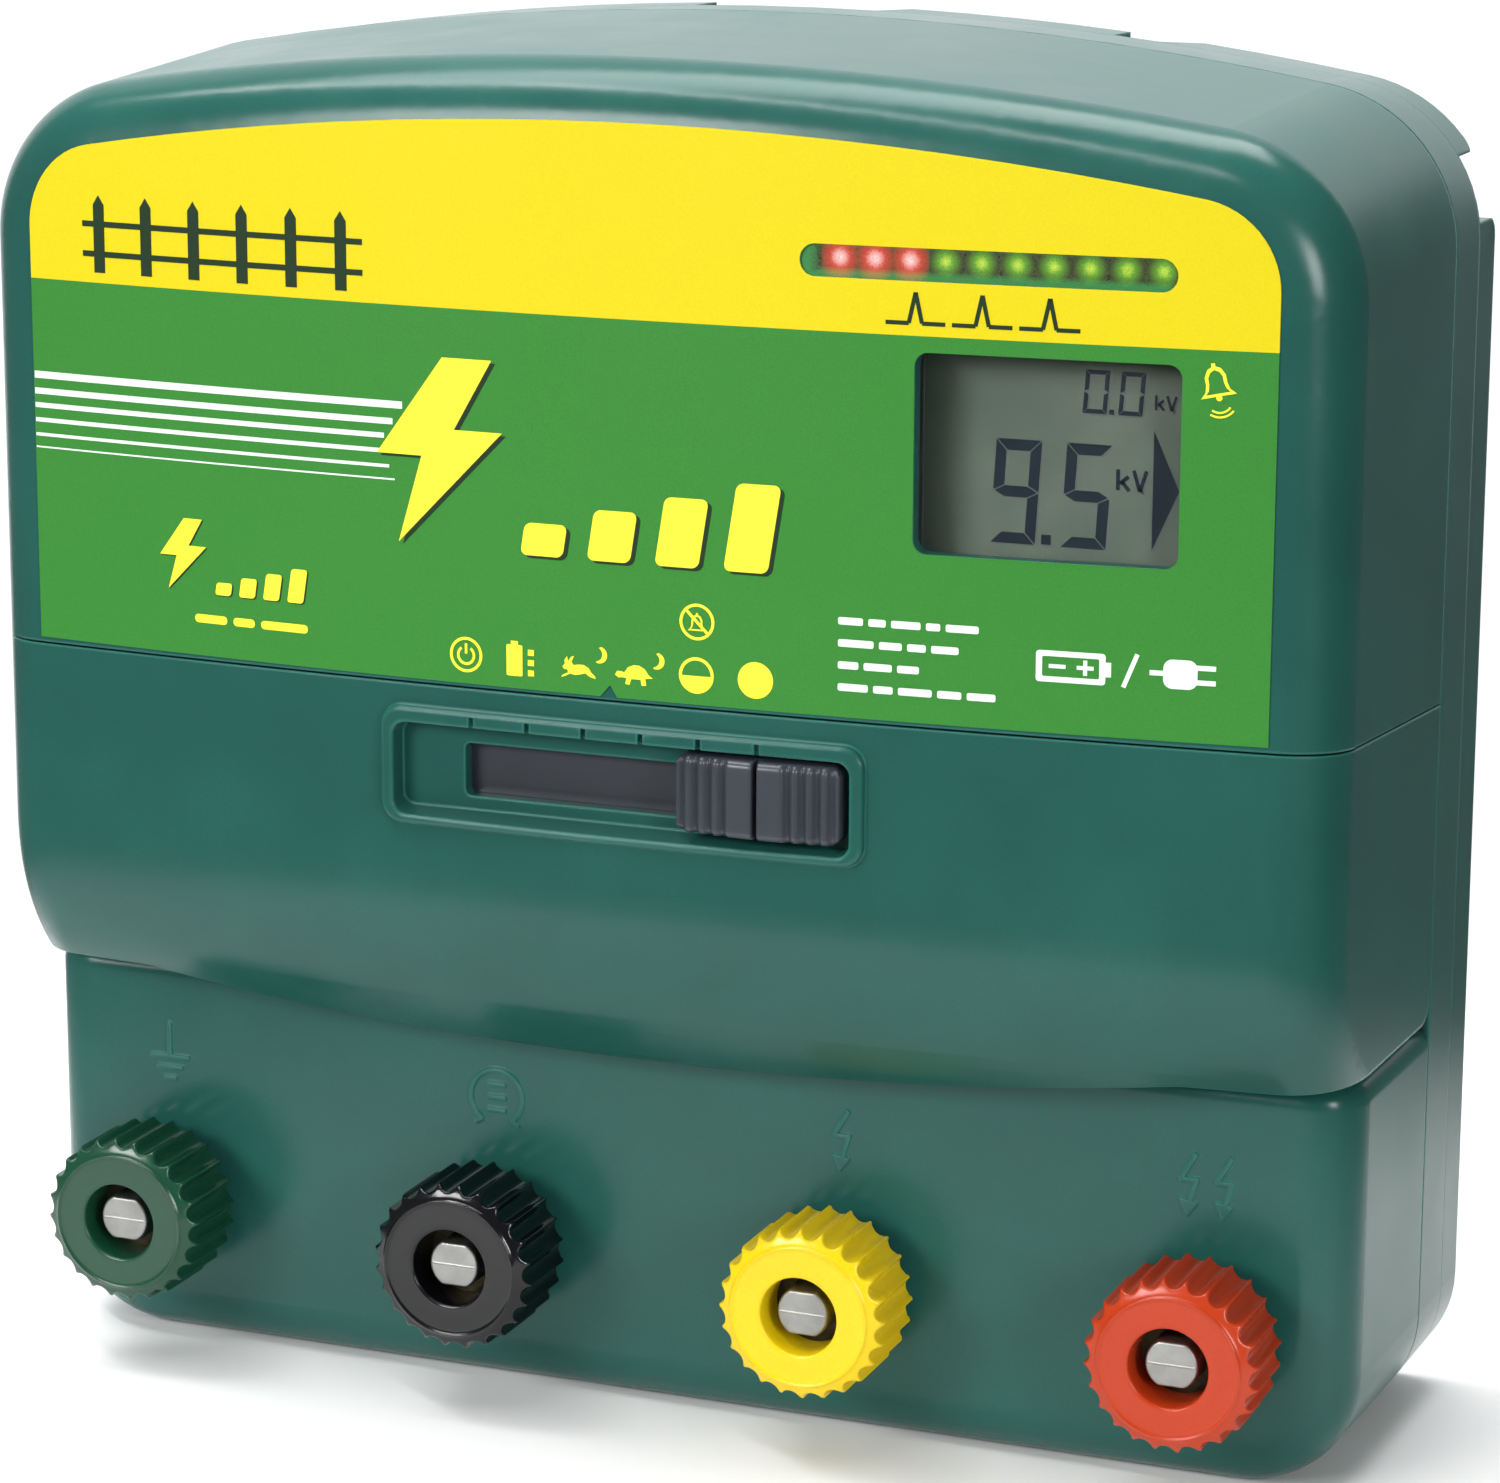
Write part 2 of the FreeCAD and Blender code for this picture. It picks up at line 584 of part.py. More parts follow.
def front_tongue():
    """Lip of the rear shell that reaches forward inside the front covers."""
    y0, y1 = SEAM_Y - 3.0, SEAM_Y + 3.0
    ring = front_stock(WALL, y0, y1).cut(front_stock(WALL + TONGUE, y0 - 1, y1 + 1))
    return ring.cut(box(-200, 200, y0 - 1, y1, FLANGE_Z - 0.5, BAND_LOW_Z + WALL + 2))


def keyhole_boss(x):
    return box(x - 9, x + 9, WALL_Y - 12, WALL_Y - 1, KEYHOLES_Z - 9, KEYHOLES_Z + 19)


def keyhole(x):
    z = KEYHOLES_Z
    room = box(x - 6.5, x + 6.5, WALL_Y - 10, WALL_Y - WALL, z - 6.5, z + 16)
    entry = rod(x, WALL_Y - WALL - 1, WALL_Y + 1, z, 5.0)
    slot = box(x - 2.6, x + 2.6, WALL_Y - WALL - 1, WALL_Y + 1, z, z + 11)
    return fuse([room, entry, slot, rod(x, WALL_Y - WALL - 1, WALL_Y + 1, z + 11, 2.6)])


def rim_notches():
    """Cut-backs of the stand-off rim, each with one sloping end."""
    floor_y, open_y = WALL_Y + 0.6, RIM_Y + 1

    def wedge(x0, x1, ramp):
        points = [V(x0, floor_y, 240), V(x1, floor_y, 240), V(x1 + ramp, open_y, 240), V(x0, open_y, 240)]
        return Part.Face(Part.makePolygon(points + points[:1])).extrude(V(0, 0, 40))

    corners = [box(110, 150, floor_y, open_y, 228.5, 240.5), box(-150, -110, floor_y, open_y, 228.5, 240.5)]
    return [wedge(-20.5, 16.5, 4.2), wedge(64.3, 73.0, 6.6)] + corners


def case_gasket():
    """Rubber seal in the groove between front covers and rear shell."""
    y0, y1 = SEAM_Y - SEAM_GAP / 2, SEAM_Y + SEAM_GAP / 2
    ring = front_stock(0.9, y0, y1).cut(front_stock(WALL, y0 - 1, y1 + 1))
    return ring


def case_screws():
    screws = []
    for x, z in both_sides(POSTS):
        head = rod(x, WALL_Y - 3.6, WALL_Y - 0.6, z, 3.9).cut(rod(x, WALL_Y - 2.2, WALL_Y, z, 1.4))
        screws.append(head.fuse(rod(x, 12.0, WALL_Y - 3.6, z, 2.0)).removeSplitter())
    return Part.makeCompound(screws)


# ---------------------------------------------------------------- label and display
def label_outline(y0, y1):
    top, half, low, r = LABEL_TOP_Z, LABEL_HALF, LABEL_LOW_Z, LABEL_CORNER
    arch_z = top - LABEL_ARCH_R
    centre_x = half - r
    centre_z = arch_z + math.sqrt((LABEL_ARCH_R - r) ** 2 - centre_x ** 2)
    reach = LABEL_ARCH_R / (LABEL_ARCH_R - r)
    join = (centre_x * reach, arch_z + (centre_z - arch_z) * reach)
    lean = math.atan2(centre_x, centre_z - arch_z)
    middle = lean + (math.pi / 2 - lean) / 2
    corner = (centre_x + r * math.sin(middle), centre_z + r * math.cos(middle))

    def p(x, z):
        return V(x, y0, z)

    edges = [
        Part.LineSegment(p(-half, low), p(half, low)),
        Part.LineSegment(p(half, low), p(half, centre_z)),
        Part.Arc(p(half, centre_z), p(*corner), p(*join)),
        Part.Arc(p(*join), p(0, top), p(-join[0], join[1])),
        Part.Arc(p(-join[0], join[1]), p(-corner[0], corner[1]), p(-half, centre_z)),
        Part.LineSegment(p(-half, centre_z), p(-half, low)),
    ]
    return Part.Face(Part.Wire([e.toShape() for e in edges])).extrude(V(0, y1 - y0, 0))


def front_label():
    sheet = bow_shell(BOW_R, BOW_R + LABEL_THICK, label_outline(-60.0, -30.0))
    nick = prism([(-2.6, LABEL_LOW_Z - 1), (2.2, LABEL_LOW_Z - 1), (0.2, LABEL_LOW_Z + 2.2)], -60.0, -30.0)
    return sheet.cut(display_hole(0.0, -60.0, -30.0)).cut(light_hole(0.0, -60.0, -30.0)).cut(nick)


def display_window():
    return bow_shell(BOW_R - WALL - 1.4, BOW_R - WALL, display_hole(3.0, -60.0, -30.0))


def light_bar_lens():
    lens = bow_shell(BOW_R - WALL - 1.2, BOW_R - 0.3, light_hole(0.0, -60.0, -30.0))
    flange = bow_shell(BOW_R - WALL - 1.2, BOW_R - WALL, light_hole(2.0, -60.0, -30.0))
    return fuse([lens, flange])


def lcd_panel():
    return box(DISPLAY_X - 25, DISPLAY_X + 25, -36.8, -34.0, DISPLAY_Z - 19, DISPLAY_Z + 19)


def lcd_frame():
    outer = box(DISPLAY_X - 27, DISPLAY_X + 27, -37.0, DISPLAY_BOARD_Y, DISPLAY_Z - 21, DISPLAY_Z + 21)
    inner = box(DISPLAY_X - 25, DISPLAY_X + 25, -38.0, -34.0, DISPLAY_Z - 19, DISPLAY_Z + 19)
    back = box(DISPLAY_X - 23, DISPLAY_X + 23, -35.0, DISPLAY_BOARD_Y + 1, DISPLAY_Z - 17, DISPLAY_Z + 17)
    return outer.cut(inner).cut(back)


def led(x):
    body = rod(x, -36.0, DISPLAY_BOARD_Y, LIGHT_Z + LED_LIFT, LED_R)
    dome = Part.makeSphere(LED_R, V(x, -36.0, LIGHT_Z + LED_LIFT))
    return body.fuse(dome).removeSplitter()


def leds(first, last):
    return Part.makeCompound([led(LED_X0 + LED_PITCH * i) for i in range(first, last)])


# ---------------------------------------------------------------- boards
def display_board():
    y0, y1 = DISPLAY_BOARD_Y, DISPLAY_BOARD_Y + BOARD_THICK
    board = box(-105, 105, y0, y1, 116, 243)
    for x, z in both_sides(DISPLAY_BOARD_POSTS):
        board = board.cut(rod(x, y0 - 1, y1 + 1, z, 1.5))
    return board


def main_board():
    y0, y1 = MAIN_BOARD_Y, MAIN_BOARD_Y + BOARD_THICK
    board = box(-108, 108, y0, y1, 46, 240)
    for x, z in both_sides(MAIN_BOARD_POSTS):
        board = board.cut(rod(x, y0 - 1, y1 + 1, z, 1.5))
    return board


def board_screws():
    screws = []
    for x, z in both_sides(DISPLAY_BOARD_POSTS):
        y = DISPLAY_BOARD_Y + BOARD_THICK
        screws.append(rod(x, y, y + 2, z, 2.8).fuse(rod(x, y - 7, y, z, 1.5)).removeSplitter())
    for x, z in both_sides(MAIN_BOARD_POSTS):
        y = MAIN_BOARD_Y
        screws.append(rod(x, y - 2, y, z, 2.8).fuse(rod(x, y, y + 9, z, 1.5)).removeSplitter())
    return Part.makeCompound(screws)


def alarm_buzzer():
    body = rod(8.0, -38.0, DISPLAY_BOARD_Y, 206.0, 7.0)
    return body.cut(rod(8.0, -39.0, -37.0, 206.0, 1.2))


def position_sensors():
    sensors = []
    for i in range(POSITIONS):
        x = SLIDER_X + (i - 2.5) * STEP
        sensors.append(box(x - 2, x + 2, DISPLAY_BOARD_Y - 1.5, DISPLAY_BOARD_Y, SLIDER_Z - 1.5, SLIDER_Z + 1.5))
    return Part.makeCompound(sensors)


def pulse_capacitors():
    cans = []
    for x in (-70.0, -6.0):
        can = box(x - 28, x + 28, -12, MAIN_BOARD_Y, 168, 224)
        upright = [e for e in can.Edges if abs(mid_point(e).y - 4.0) < 1.0]
        cans.append(can.makeFillet(3.0, upright))
    return Part.makeCompound(cans)


def laminated_core(x, z, width, height, leg, y0, y1):
    """Closed three-leg core with a centre leg twice the outer leg width."""
    core = box(x - width / 2, x + width / 2, y0, y1, z - height / 2, z + height / 2)
    window_w = (width - 4 * leg) / 2
    for side in (-1, 1):
        centre = x + side * (leg + window_w / 2)
        core = core.cut(box(centre - window_w / 2, centre + window_w / 2, y0 - 1, y1 + 1,
                            z - height / 2 + leg, z + height / 2 - leg))
    return core


def coil(x, z, width, height, leg, y0, y1, core_y0, core_y1):
    """Winding round the centre leg, filling both windows."""
    window_w = (width - 4 * leg) / 2
    half = leg + window_w
    winding = box(x - half, x + half, y0, y1, z - height / 2 + leg, z + height / 2 - leg)
    hole = box(x - leg, x + leg, core_y0, core_y1, z - height / 2, z + height / 2)
    return winding.cut(hole)


PULSE = dict(x=54.0, z=94.0, width=76.0, height=64.0, leg=12.0)
SUPPLY = dict(x=-72.0, z=84.0, width=48.0, height=40.0, leg=7.5)


def heat_sink():
    base = box(36, 92, 16, MAIN_BOARD_Y, 180, 226)
    fins = [box(x, x + 2, 0, 17, 180, 226) for x in (36, 44.8, 53.6, 62.4, 71.2, 80, 90)]
    return fuse([base] + fins)


def thyristor():
    body = box(56, 72, 15, MAIN_BOARD_Y, 158, 180)
    return body.cut(rod(64, 10, 16.5, 174, 1.8))


# ---------------------------------------------------------------- slider
def slider_grip():
    """Ribbed grip with a deep pointer groove in the middle and a bowed front."""
    x0, x1 = GRIP_X - GRIP_HALF_W, GRIP_X + GRIP_HALF_W
    z0, z1 = GRIP_Z - GRIP_HALF_H, GRIP_Z + GRIP_HALF_H
    shoulder_y = GRIP_FRONT_Y + GRIP_SWELL
    arc = Part.Arc(V(x0, shoulder_y, z0), V(GRIP_X, GRIP_FRONT_Y, z0), V(x1, shoulder_y, z0))
    edges = [Part.makeLine(V(x0, GRIP_BACK_Y, z0), V(x0, shoulder_y, z0)), arc.toShape(),
             Part.makeLine(V(x1, shoulder_y, z0), V(x1, GRIP_BACK_Y, z0)),
             Part.makeLine(V(x1, GRIP_BACK_Y, z0), V(x0, GRIP_BACK_Y, z0))]
    grip = Part.Face(Part.Wire(edges)).extrude(V(0, 0, z1 - z0))
    along = [e for e in grip.Edges if abs(e.Vertexes[0].Y - e.Vertexes[-1].Y) > 2]
    grip = grip.makeFillet(GRIP_CORNER, along)
    front = [e for e in grip.Edges if max(v.Y for v in e.Vertexes) < shoulder_y + 0.5]
    grip = grip.makeFillet(GRIP_EDGE_R, front)
    grooves = [box(GRIP_X - 0.6, GRIP_X + 0.6, GRIP_FRONT_Y - 1, GRIP_BACK_Y - 3.5, z0 - 1, z1 + 1)]
    for side in (-1, 1):
        for i in range(4):
            reach = RIB_START + RIB_PITCH * (i + 0.5)
            depth_y = GRIP_FRONT_Y + RIB_DEPTH + GRIP_SWELL * (reach / GRIP_HALF_W) ** 2
            x = GRIP_X + side * reach
            grooves.append(box(x - 0.55, x + 0.55, GRIP_FRONT_Y - 1, depth_y, z0 - 1, z1 + 1))
    grip = grip.cut(fuse(grooves))
    return grip.cut(neck(GRIP_BACK_Y - 2.4))


def neck(front_y):
    return box(GRIP_X - NECK_W / 2, GRIP_X + NECK_W / 2, front_y, STRIP_Y0 + 0.5,
               SLIDER_Z - NECK_H / 2, SLIDER_Z + NECK_H / 2)


def slide_carrier():
    strip = box(STRIP_X0, STRIP_X1, STRIP_Y0, STRIP_Y1, SLIDER_Z - STRIP_HALF_H, SLIDER_Z + STRIP_HALF_H)
    carrier = fuse([strip, neck(GRIP_BACK_Y - 2.4)])
    for i in range(POSITIONS):
        x = i * STEP
        carrier = carrier.cut(box(x - 0.8, x + 0.8, STRIP_Y1 - 0.4, STRIP_Y1 + 1,
                                  SLIDER_Z + STRIP_HALF_H - 2.6, SLIDER_Z + STRIP_HALF_H + 1))
    return carrier


def slide_magnet():
    return rod(GRIP_X, STRIP_Y1, STRIP_Y1 + 2.5, SLIDER_Z, 3.0)


def detent_spring():
    z0 = SLIDER_Z + STRIP_HALF_H - 2.4
    leaf = box(-26, 26, -38.6, -38.2, z0, z0 + 4.1)
    bump = post(0, -38.6, z0, z0 + 1.8, 0.2)
    return fuse([leaf, bump])


# ---------------------------------------------------------------- terminals
def flatted(x, y0, y1, radius, across):
    """Round bar along Y with a flat on its top and underside."""
    bar = rod(x, y0, y1, KNOB_Z, radius)
    return bar.common(box(x - radius, x + radius, y0, y1, KNOB_Z - across / 2, KNOB_Z + across / 2))


def terminal_studs():
    studs = []
    for i in range(len(KNOB_COLOURS)):
        x = knob_x(i)
        tip = flatted(x, STUD_END_Y, -23.6, STUD_R, STUD_FLATS)
        shank = rod(x, -23.6, -15.6, KNOB_Z, STUD_R)
        flange = rod(x, -15.6, -13.1, KNOB_Z, 9.0)
        tail = rod(x, -13.1, 2.0, KNOB_Z, 3.0)
        studs.append(fuse([tip, shank, flange, tail]))
    return Part.makeCompound(studs)


def per_terminal(make):
    return Part.makeCompound([make(knob_x(i)) for i in range(len(KNOB_COLOURS))])


def base_nut(x):
    return hexagon(x, -23.6, TERMINAL_FACE_Y, KNOB_Z, 17.0).cut(rod(x, -30, -10, KNOB_Z, STUD_R))


def stud_seal(x):
    return rod(x, -17.6, -15.6, KNOB_Z, 8.5).cut(rod(x, -20, -10, KNOB_Z, STUD_R))


def lead_nut(x):
    return hexagon(x, -12.1, -7.1, KNOB_Z, 10.0).cut(rod(x, -20, 0, KNOB_Z, 3.0))


def stud_lead(x):
    lug = rod(x, -13.1, -12.1, KNOB_Z, 6.5)
    riser = box(x - 3, x + 3, -13.1, -12.1, KNOB_Z, 54.0)
    run = box(x - 3, x + 3, -13.1, MAIN_BOARD_Y, 53.0, 54.0)
    return fuse([lug, riser, run]).cut(rod(x, -20, 0, KNOB_Z, 3.0))


def knob_body():
    """Fluted knob at X 0, open at the front over the stud end."""
    back, front, tip = KNOB_BACK_Y, KNOB_FRONT_Y, KNOB_TIP_R
    profile = [V(0, back, 0), V(tip - 0.9, back, 0), V(tip, back - 0.9, 0), V(tip, front + 2.6, 0),
               V(tip - 0.9, front + 1.2, 0), V(KNOB_FACE_R, front, 0), V(0, front, 0)]
    face = Part.Face(Part.makePolygon(profile + profile[:1]))
    body = face.revolve(V(0, 0, 0), V(0, 1, 0), 360)
    body.translate(V(0, 0, KNOB_Z))
    flutes = []
    for i in range(FLUTES):
        a = 2 * math.pi * (i + 0.5) / FLUTES
        x, z = (tip + 0.3) * math.cos(a), KNOB_Z + (tip + 0.3) * math.sin(a)
        flutes.append(rod(x, front - 1, back + 1, z, FLUTE_R))
    body = body.cut(Part.makeCompound(flutes))
    pocket = hexagon(0, back - INSERT_LEN, back + 1, KNOB_Z, INSERT_AF)
    return body.cut(pocket).cut(rod(0, front - 1, back - INSERT_LEN + 1, KNOB_Z, KNOB_HOLE_R))


def insert_body():
    body = hexagon(0, KNOB_BACK_Y - INSERT_LEN, KNOB_BACK_Y, KNOB_Z, INSERT_AF)
    return body.cut(rod(0, -60, 0, KNOB_Z, STUD_R + THREAD_CLEARANCE))


def washer_body():
    disc = rod(0, KNOB_BACK_Y + 0.05, -23.65, KNOB_Z, 11.0)
    return disc.cut(flatted(0, -40, -10, STUD_R + THREAD_CLEARANCE, STUD_FLATS + 2 * THREAD_CLEARANCE))


def moved(shape, x):
    copy = shape.copy()
    copy.translate(V(x, 0, 0))
    return copy


# ---------------------------------------------------------------- power inlet
def inlet_socket():
    barrel = post(INLET_X, INLET_Y, 0.6, 24, 11.0)
    collar = post(INLET_X, INLET_Y, WALL, WALL + 3, 14.0)
    return fuse([barrel, collar]).cut(post(INLET_X, INLET_Y, 0, 14, 8.5))


def inlet_pins():
    return Part.makeCompound([post(INLET_X + side * 3.5, INLET_Y, 4.0, 14.0, 1.2) for side in (-1, 1)])


# ---------------------------------------------------------------- export
def main():
    os.makedirs("parts", exist_ok=True)
    export("rear_shell", rear_shell())
    export("stand_off_rim", stand_off_rim())
    export("upper_cover", upper_cover())
    export("switch_band", switch_band())
    export("terminal_cover", terminal_cover())
    export("case_gasket", case_gasket())
    export("case_screws", case_screws())
    export("front_label", front_label())
    export("display_window", display_window())
    export("light_bar_lens", light_bar_lens())
    export("lcd_panel", lcd_panel())
    export("lcd_frame", lcd_frame())
    export("leds_red", leds(0, LED_RED))
    export("leds_green", leds(LED_RED, LED_COUNT))
    export("display_board", display_board())
    export("main_board", main_board())
    export("board_screws", board_screws())
    export("alarm_buzzer", alarm_buzzer())
    export("position_sensors", position_sensors())
    export("pulse_capacitors", pulse_capacitors())
    export("pulse_core", laminated_core(y0=-5.0, y1=15.0, **PULSE))
    export("pulse_coil", coil(y0=-10.0, y1=MAIN_BOARD_Y, core_y0=-5.0, core_y1=15.0, **PULSE))
    export("supply_core", laminated_core(y0=-2.0, y1=14.0, **SUPPLY))
    export("supply_coil", coil(y0=-7.0, y1=MAIN_BOARD_Y, core_y0=-2.0, core_y1=14.0, **SUPPLY))
    export("heat_sink", heat_sink())
    export("thyristor", thyristor())
    export("slider_grip", slider_grip())
    export("slide_carrier", slide_carrier())
    export("slide_magnet", slide_magnet())
    export("detent_spring", detent_spring())
    export("terminal_studs", terminal_studs())
    export("base_nuts", per_terminal(base_nut))
    export("stud_seals", per_terminal(stud_seal))
    export("lead_nuts", per_terminal(lead_nut))
    export("stud_leads", per_terminal(stud_lead))
    export("inlet_socket", inlet_socket())
    export("inlet_pins", inlet_pins())
    knob, insert, washer = knob_body(), insert_body(), washer_body()
    for i, colour in enumerate(KNOB_COLOURS):
        export("knob_" + colour, moved(knob, knob_x(i)))
        export("insert_" + colour, moved(insert, knob_x(i)))
        export("washer_" + colour, moved(washer, knob_x(i)))


main()
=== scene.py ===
"""Looks of a wall-hung fence energizer, built round its CAD frame."""

import math

import bmesh
import bpy
from mathutils import Matrix, Vector
from mathutils.geometry import tessellate_polygon


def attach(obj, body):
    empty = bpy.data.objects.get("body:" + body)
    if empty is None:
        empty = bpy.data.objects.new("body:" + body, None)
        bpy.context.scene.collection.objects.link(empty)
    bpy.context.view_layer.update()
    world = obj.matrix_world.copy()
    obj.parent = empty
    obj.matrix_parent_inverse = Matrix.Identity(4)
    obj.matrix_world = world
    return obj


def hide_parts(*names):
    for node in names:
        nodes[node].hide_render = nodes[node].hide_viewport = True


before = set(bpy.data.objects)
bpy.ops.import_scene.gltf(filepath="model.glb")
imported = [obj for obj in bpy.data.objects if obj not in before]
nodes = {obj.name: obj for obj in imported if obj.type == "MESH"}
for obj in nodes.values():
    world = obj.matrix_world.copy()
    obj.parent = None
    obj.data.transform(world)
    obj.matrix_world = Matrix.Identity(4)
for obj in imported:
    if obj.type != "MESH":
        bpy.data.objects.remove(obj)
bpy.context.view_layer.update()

MM = 0.001
COLOURS = ("green", "black", "yellow", "red")

# ---- places taken from the CAD model, in millimetres ----
ORIGIN_SHIFT_Y = -1.6    # from the drawing's Y 0 to the middle of the box round the part
BOW_R = 1050.0
BOW_AXIS_Y = 1002.4
LABEL_THICK = 0.25
LED_REDS = 3
LCD_FACE_Y = -36.8
LCD_X0, LCD_Z1 = 57.3, 212.2
KNOB_Z, KNOB_PITCH = 31.0, 71.0
KNOB_TIP_R, KNOB_BACK_Y, KNOB_FRONT_Y = 16.6, -25.3, -43.4
KNOB_FLUTES = 24
GRIP_X, GRIP_Z = 29.0, 129.7
GRIP_HALF_W, GRIP_HALF_H = 15.9, 7.25
GRIP_FRONT_Y, GRIP_BACK_Y = -50.2, -43.9


# ---- places and sizes of the print and the glow, in millimetres ----
LABEL_SPLIT_Z = 215.0
LED_X0, LED_PITCH, LED_Z = 43.4, 6.4, 228.05    # middles of the glow, within 1 mm of the lights behind
LED_STEP = 0.05                      # part of a pitch over which one glow gives way to the next
LABEL_HALF = 120                     # print is cut into strips from here to the other side
INK_STRIP = 3
LABEL_INK_SUNK, LCD_INK_SUNK = 0.03, 0.02
RED_HALO, RED_CORE = 4.4, 1.9        # how far a light's glow and its bright middle reach
GREEN_HALO, GREEN_CORE = 3.0, 1.3
LCD_SHADE_W, LCD_SHADE_H = 9.0, 7.0  # how far the case shades the display from its left and top


# ---------------------------------------------------------------- meshes
def mesh_object(name, bm, material, smooth_angle=35.0):
    """Object from a bmesh in millimetres, with sharp edges kept above the given angle."""
    bmesh.ops.remove_doubles(bm, verts=bm.verts, dist=0.0005)
    bmesh.ops.recalc_face_normals(bm, faces=bm.faces)
    bmesh.ops.translate(bm, vec=(0.0, ORIGIN_SHIFT_Y, 0.0), verts=bm.verts)
    bmesh.ops.scale(bm, vec=(MM, MM, MM), verts=bm.verts)
    mesh = bpy.data.meshes.new(name)
    bm.to_mesh(mesh)
    bm.free()
    mesh.materials.append(material)
    mesh.shade_smooth()
    mesh.set_sharp_from_angle(angle=math.radians(smooth_angle))
    obj = bpy.data.objects.new(name, mesh)
    bpy.context.scene.collection.objects.link(obj)
    return obj


def ring_of(bm, points):
    return [bm.verts.new(p) for p in points]


def bridge(bm, ring_a, ring_b):
    count = len(ring_a)
    for i in range(count):
        j = (i + 1) % count
        bm.faces.new((ring_a[i], ring_a[j], ring_b[j], ring_b[i]))


def cap(bm, ring, centre):
    middle = bm.verts.new(centre)
    for i, vert in enumerate(ring):
        bm.faces.new((vert, ring[(i + 1) % len(ring)], middle))


# ---------------------------------------------------------------- printed shapes
def stroke(start, end, width):
    (x0, z0), (x1, z1) = start, end
    length = math.hypot(x1 - x0, z1 - z0)
    nx, nz = -(z1 - z0) / length * width / 2, (x1 - x0) / length * width / 2
    return [[(x0 + nx, z0 + nz), (x1 + nx, z1 + nz), (x1 - nx, z1 - nz), (x0 - nx, z0 - nz)]]


def rect(x0, x1, z0, z1):
    return [[(x0, z0), (x1, z0), (x1, z1), (x0, z1)]]


def arc_points(x, z, radius, start, end, count):
    angles = [math.radians(start + (end - start) * i / count) for i in range(count + 1)]
    return [(x + radius * math.cos(a), z + radius * math.sin(a)) for a in angles]


def disc(x, z, radius, count=40):
    return [arc_points(x, z, radius, 0, 360 - 360 / count, count - 1)]


def ring(x, z, outer, inner, count=48):
    return [disc(x, z, outer, count)[0], disc(x, z, inner, count)[0]]


def arc_band(x, z, radius, width, start, end, count=24):
    outside = arc_points(x, z, radius + width / 2, start, end, count)
    inside = arc_points(x, z, radius - width / 2, start, end, count)
    return [outside + inside[::-1]]


def rounded(x0, x1, z0, z1, corner, lean=0.0):
    """Rectangle with rounded corners whose top leans sideways."""
    points = arc_points(x1 - corner, z0 + corner, corner, -90, 0, 5)
    points += arc_points(x1 - corner, z1 - corner, corner, 0, 90, 5)
    points += arc_points(x0 + corner, z1 - corner, corner, 90, 180, 5)
    points += arc_points(x0 + corner, z0 + corner, corner, 180, 270, 5)
    return [[(x + lean * (z - z0), z) for x, z in points]]


def shifted(shapes, dx, dz, scale=1.0):
    return [[[(dx + scale * x, dz + scale * z) for x, z in loop] for loop in shape] for shape in shapes]


def turned(shapes, degrees):
    cos, sin = math.cos(math.radians(degrees)), math.sin(math.radians(degrees))

    def turn(x, z):
        return x * cos - z * sin, x * sin + z * cos

    return [[[turn(x, z) for x, z in loop] for loop in shape] for shape in shapes]


def flat_mesh(shapes):
    """Faces in the XZ plane for a list of shapes, each an outer loop and any holes."""
    bm = bmesh.new()
    for shape in shapes:
        loops = [[Vector((x, z, 0.0)) for x, z in loop] for loop in shape]
        verts = [bm.verts.new((p.x, 0.0, p.y)) for loop in loops for p in loop]
        for corners in tessellate_polygon(loops):
            if len(set(corners)) == 3:
                bm.faces.new([verts[i] for i in corners])
    return bm


def thicken(bm, front_y, back_y):
    """Turns flat faces at Y 0 into thin closed solids whose faces lie at two depths."""
    bmesh.ops.remove_doubles(bm, verts=bm.verts, dist=0.001)
    grown = bmesh.ops.extrude_face_region(bm, geom=list(bm.faces), use_keep_orig=True)
    front = {g for g in grown["geom"] if isinstance(g, bmesh.types.BMVert)}
    for vert in bm.verts:
        vert.co.y = front_y(vert.co.x) if vert in front else back_y(vert.co.x)


def bow_y(x, radius):
    return BOW_AXIS_Y - math.sqrt(radius * radius - x * x)


def label_ink(name, shapes, material, proud=0.05):
    """Thin print that follows the bowed label, cut into strips narrow enough to bend with it."""
    bm = flat_mesh(shapes)
    for x in range(-LABEL_HALF, LABEL_HALF + 1, INK_STRIP):
        geometry = list(bm.verts) + list(bm.edges) + list(bm.faces)
        bmesh.ops.bisect_plane(bm, geom=geometry, plane_co=(x, 0, 0), plane_no=(1, 0, 0))
    radius = BOW_R + LABEL_THICK
    thicken(bm, lambda x: bow_y(x, radius + proud), lambda x: bow_y(x, radius - LABEL_INK_SUNK))
    obj = mesh_object(name, bm, material)
    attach(obj, "housing")


def lcd_ink(name, shapes, material, proud):
    """Segments that lie on the flat liquid-crystal panel."""
    bm = flat_mesh(shapes)
    thicken(bm, lambda x: LCD_FACE_Y - proud, lambda x: LCD_FACE_Y + LCD_INK_SUNK)
    obj = mesh_object(name, bm, material)
    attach(obj, "housing")


# ---------------------------------------------------------------- shader helpers
def add(tree, kind, inputs=None, **attributes):
    """New shader node with its inputs set or linked."""
    node = tree.nodes.new(kind)
    for key, value in attributes.items():
        setattr(node, key, value)
    for key, value in (inputs or {}).items():
        if isinstance(value, bpy.types.NodeSocket):
            tree.links.new(value, node.inputs[key])
        else:
            node.inputs[key].default_value = value
    return node


def shader(name, **settings):
    """Material with a Principled shader whose constant sockets are set."""
    material = bpy.data.materials.new(name)
    material.use_nodes = True
    tree = material.node_tree
    principled = tree.nodes["Principled BSDF"]
    for key, value in settings.items():
        principled.inputs[key.replace("_", " ")].default_value = value
    return material, tree, principled


def object_place(tree):
    return add(tree, "ShaderNodeTexCoord").outputs["Object"]


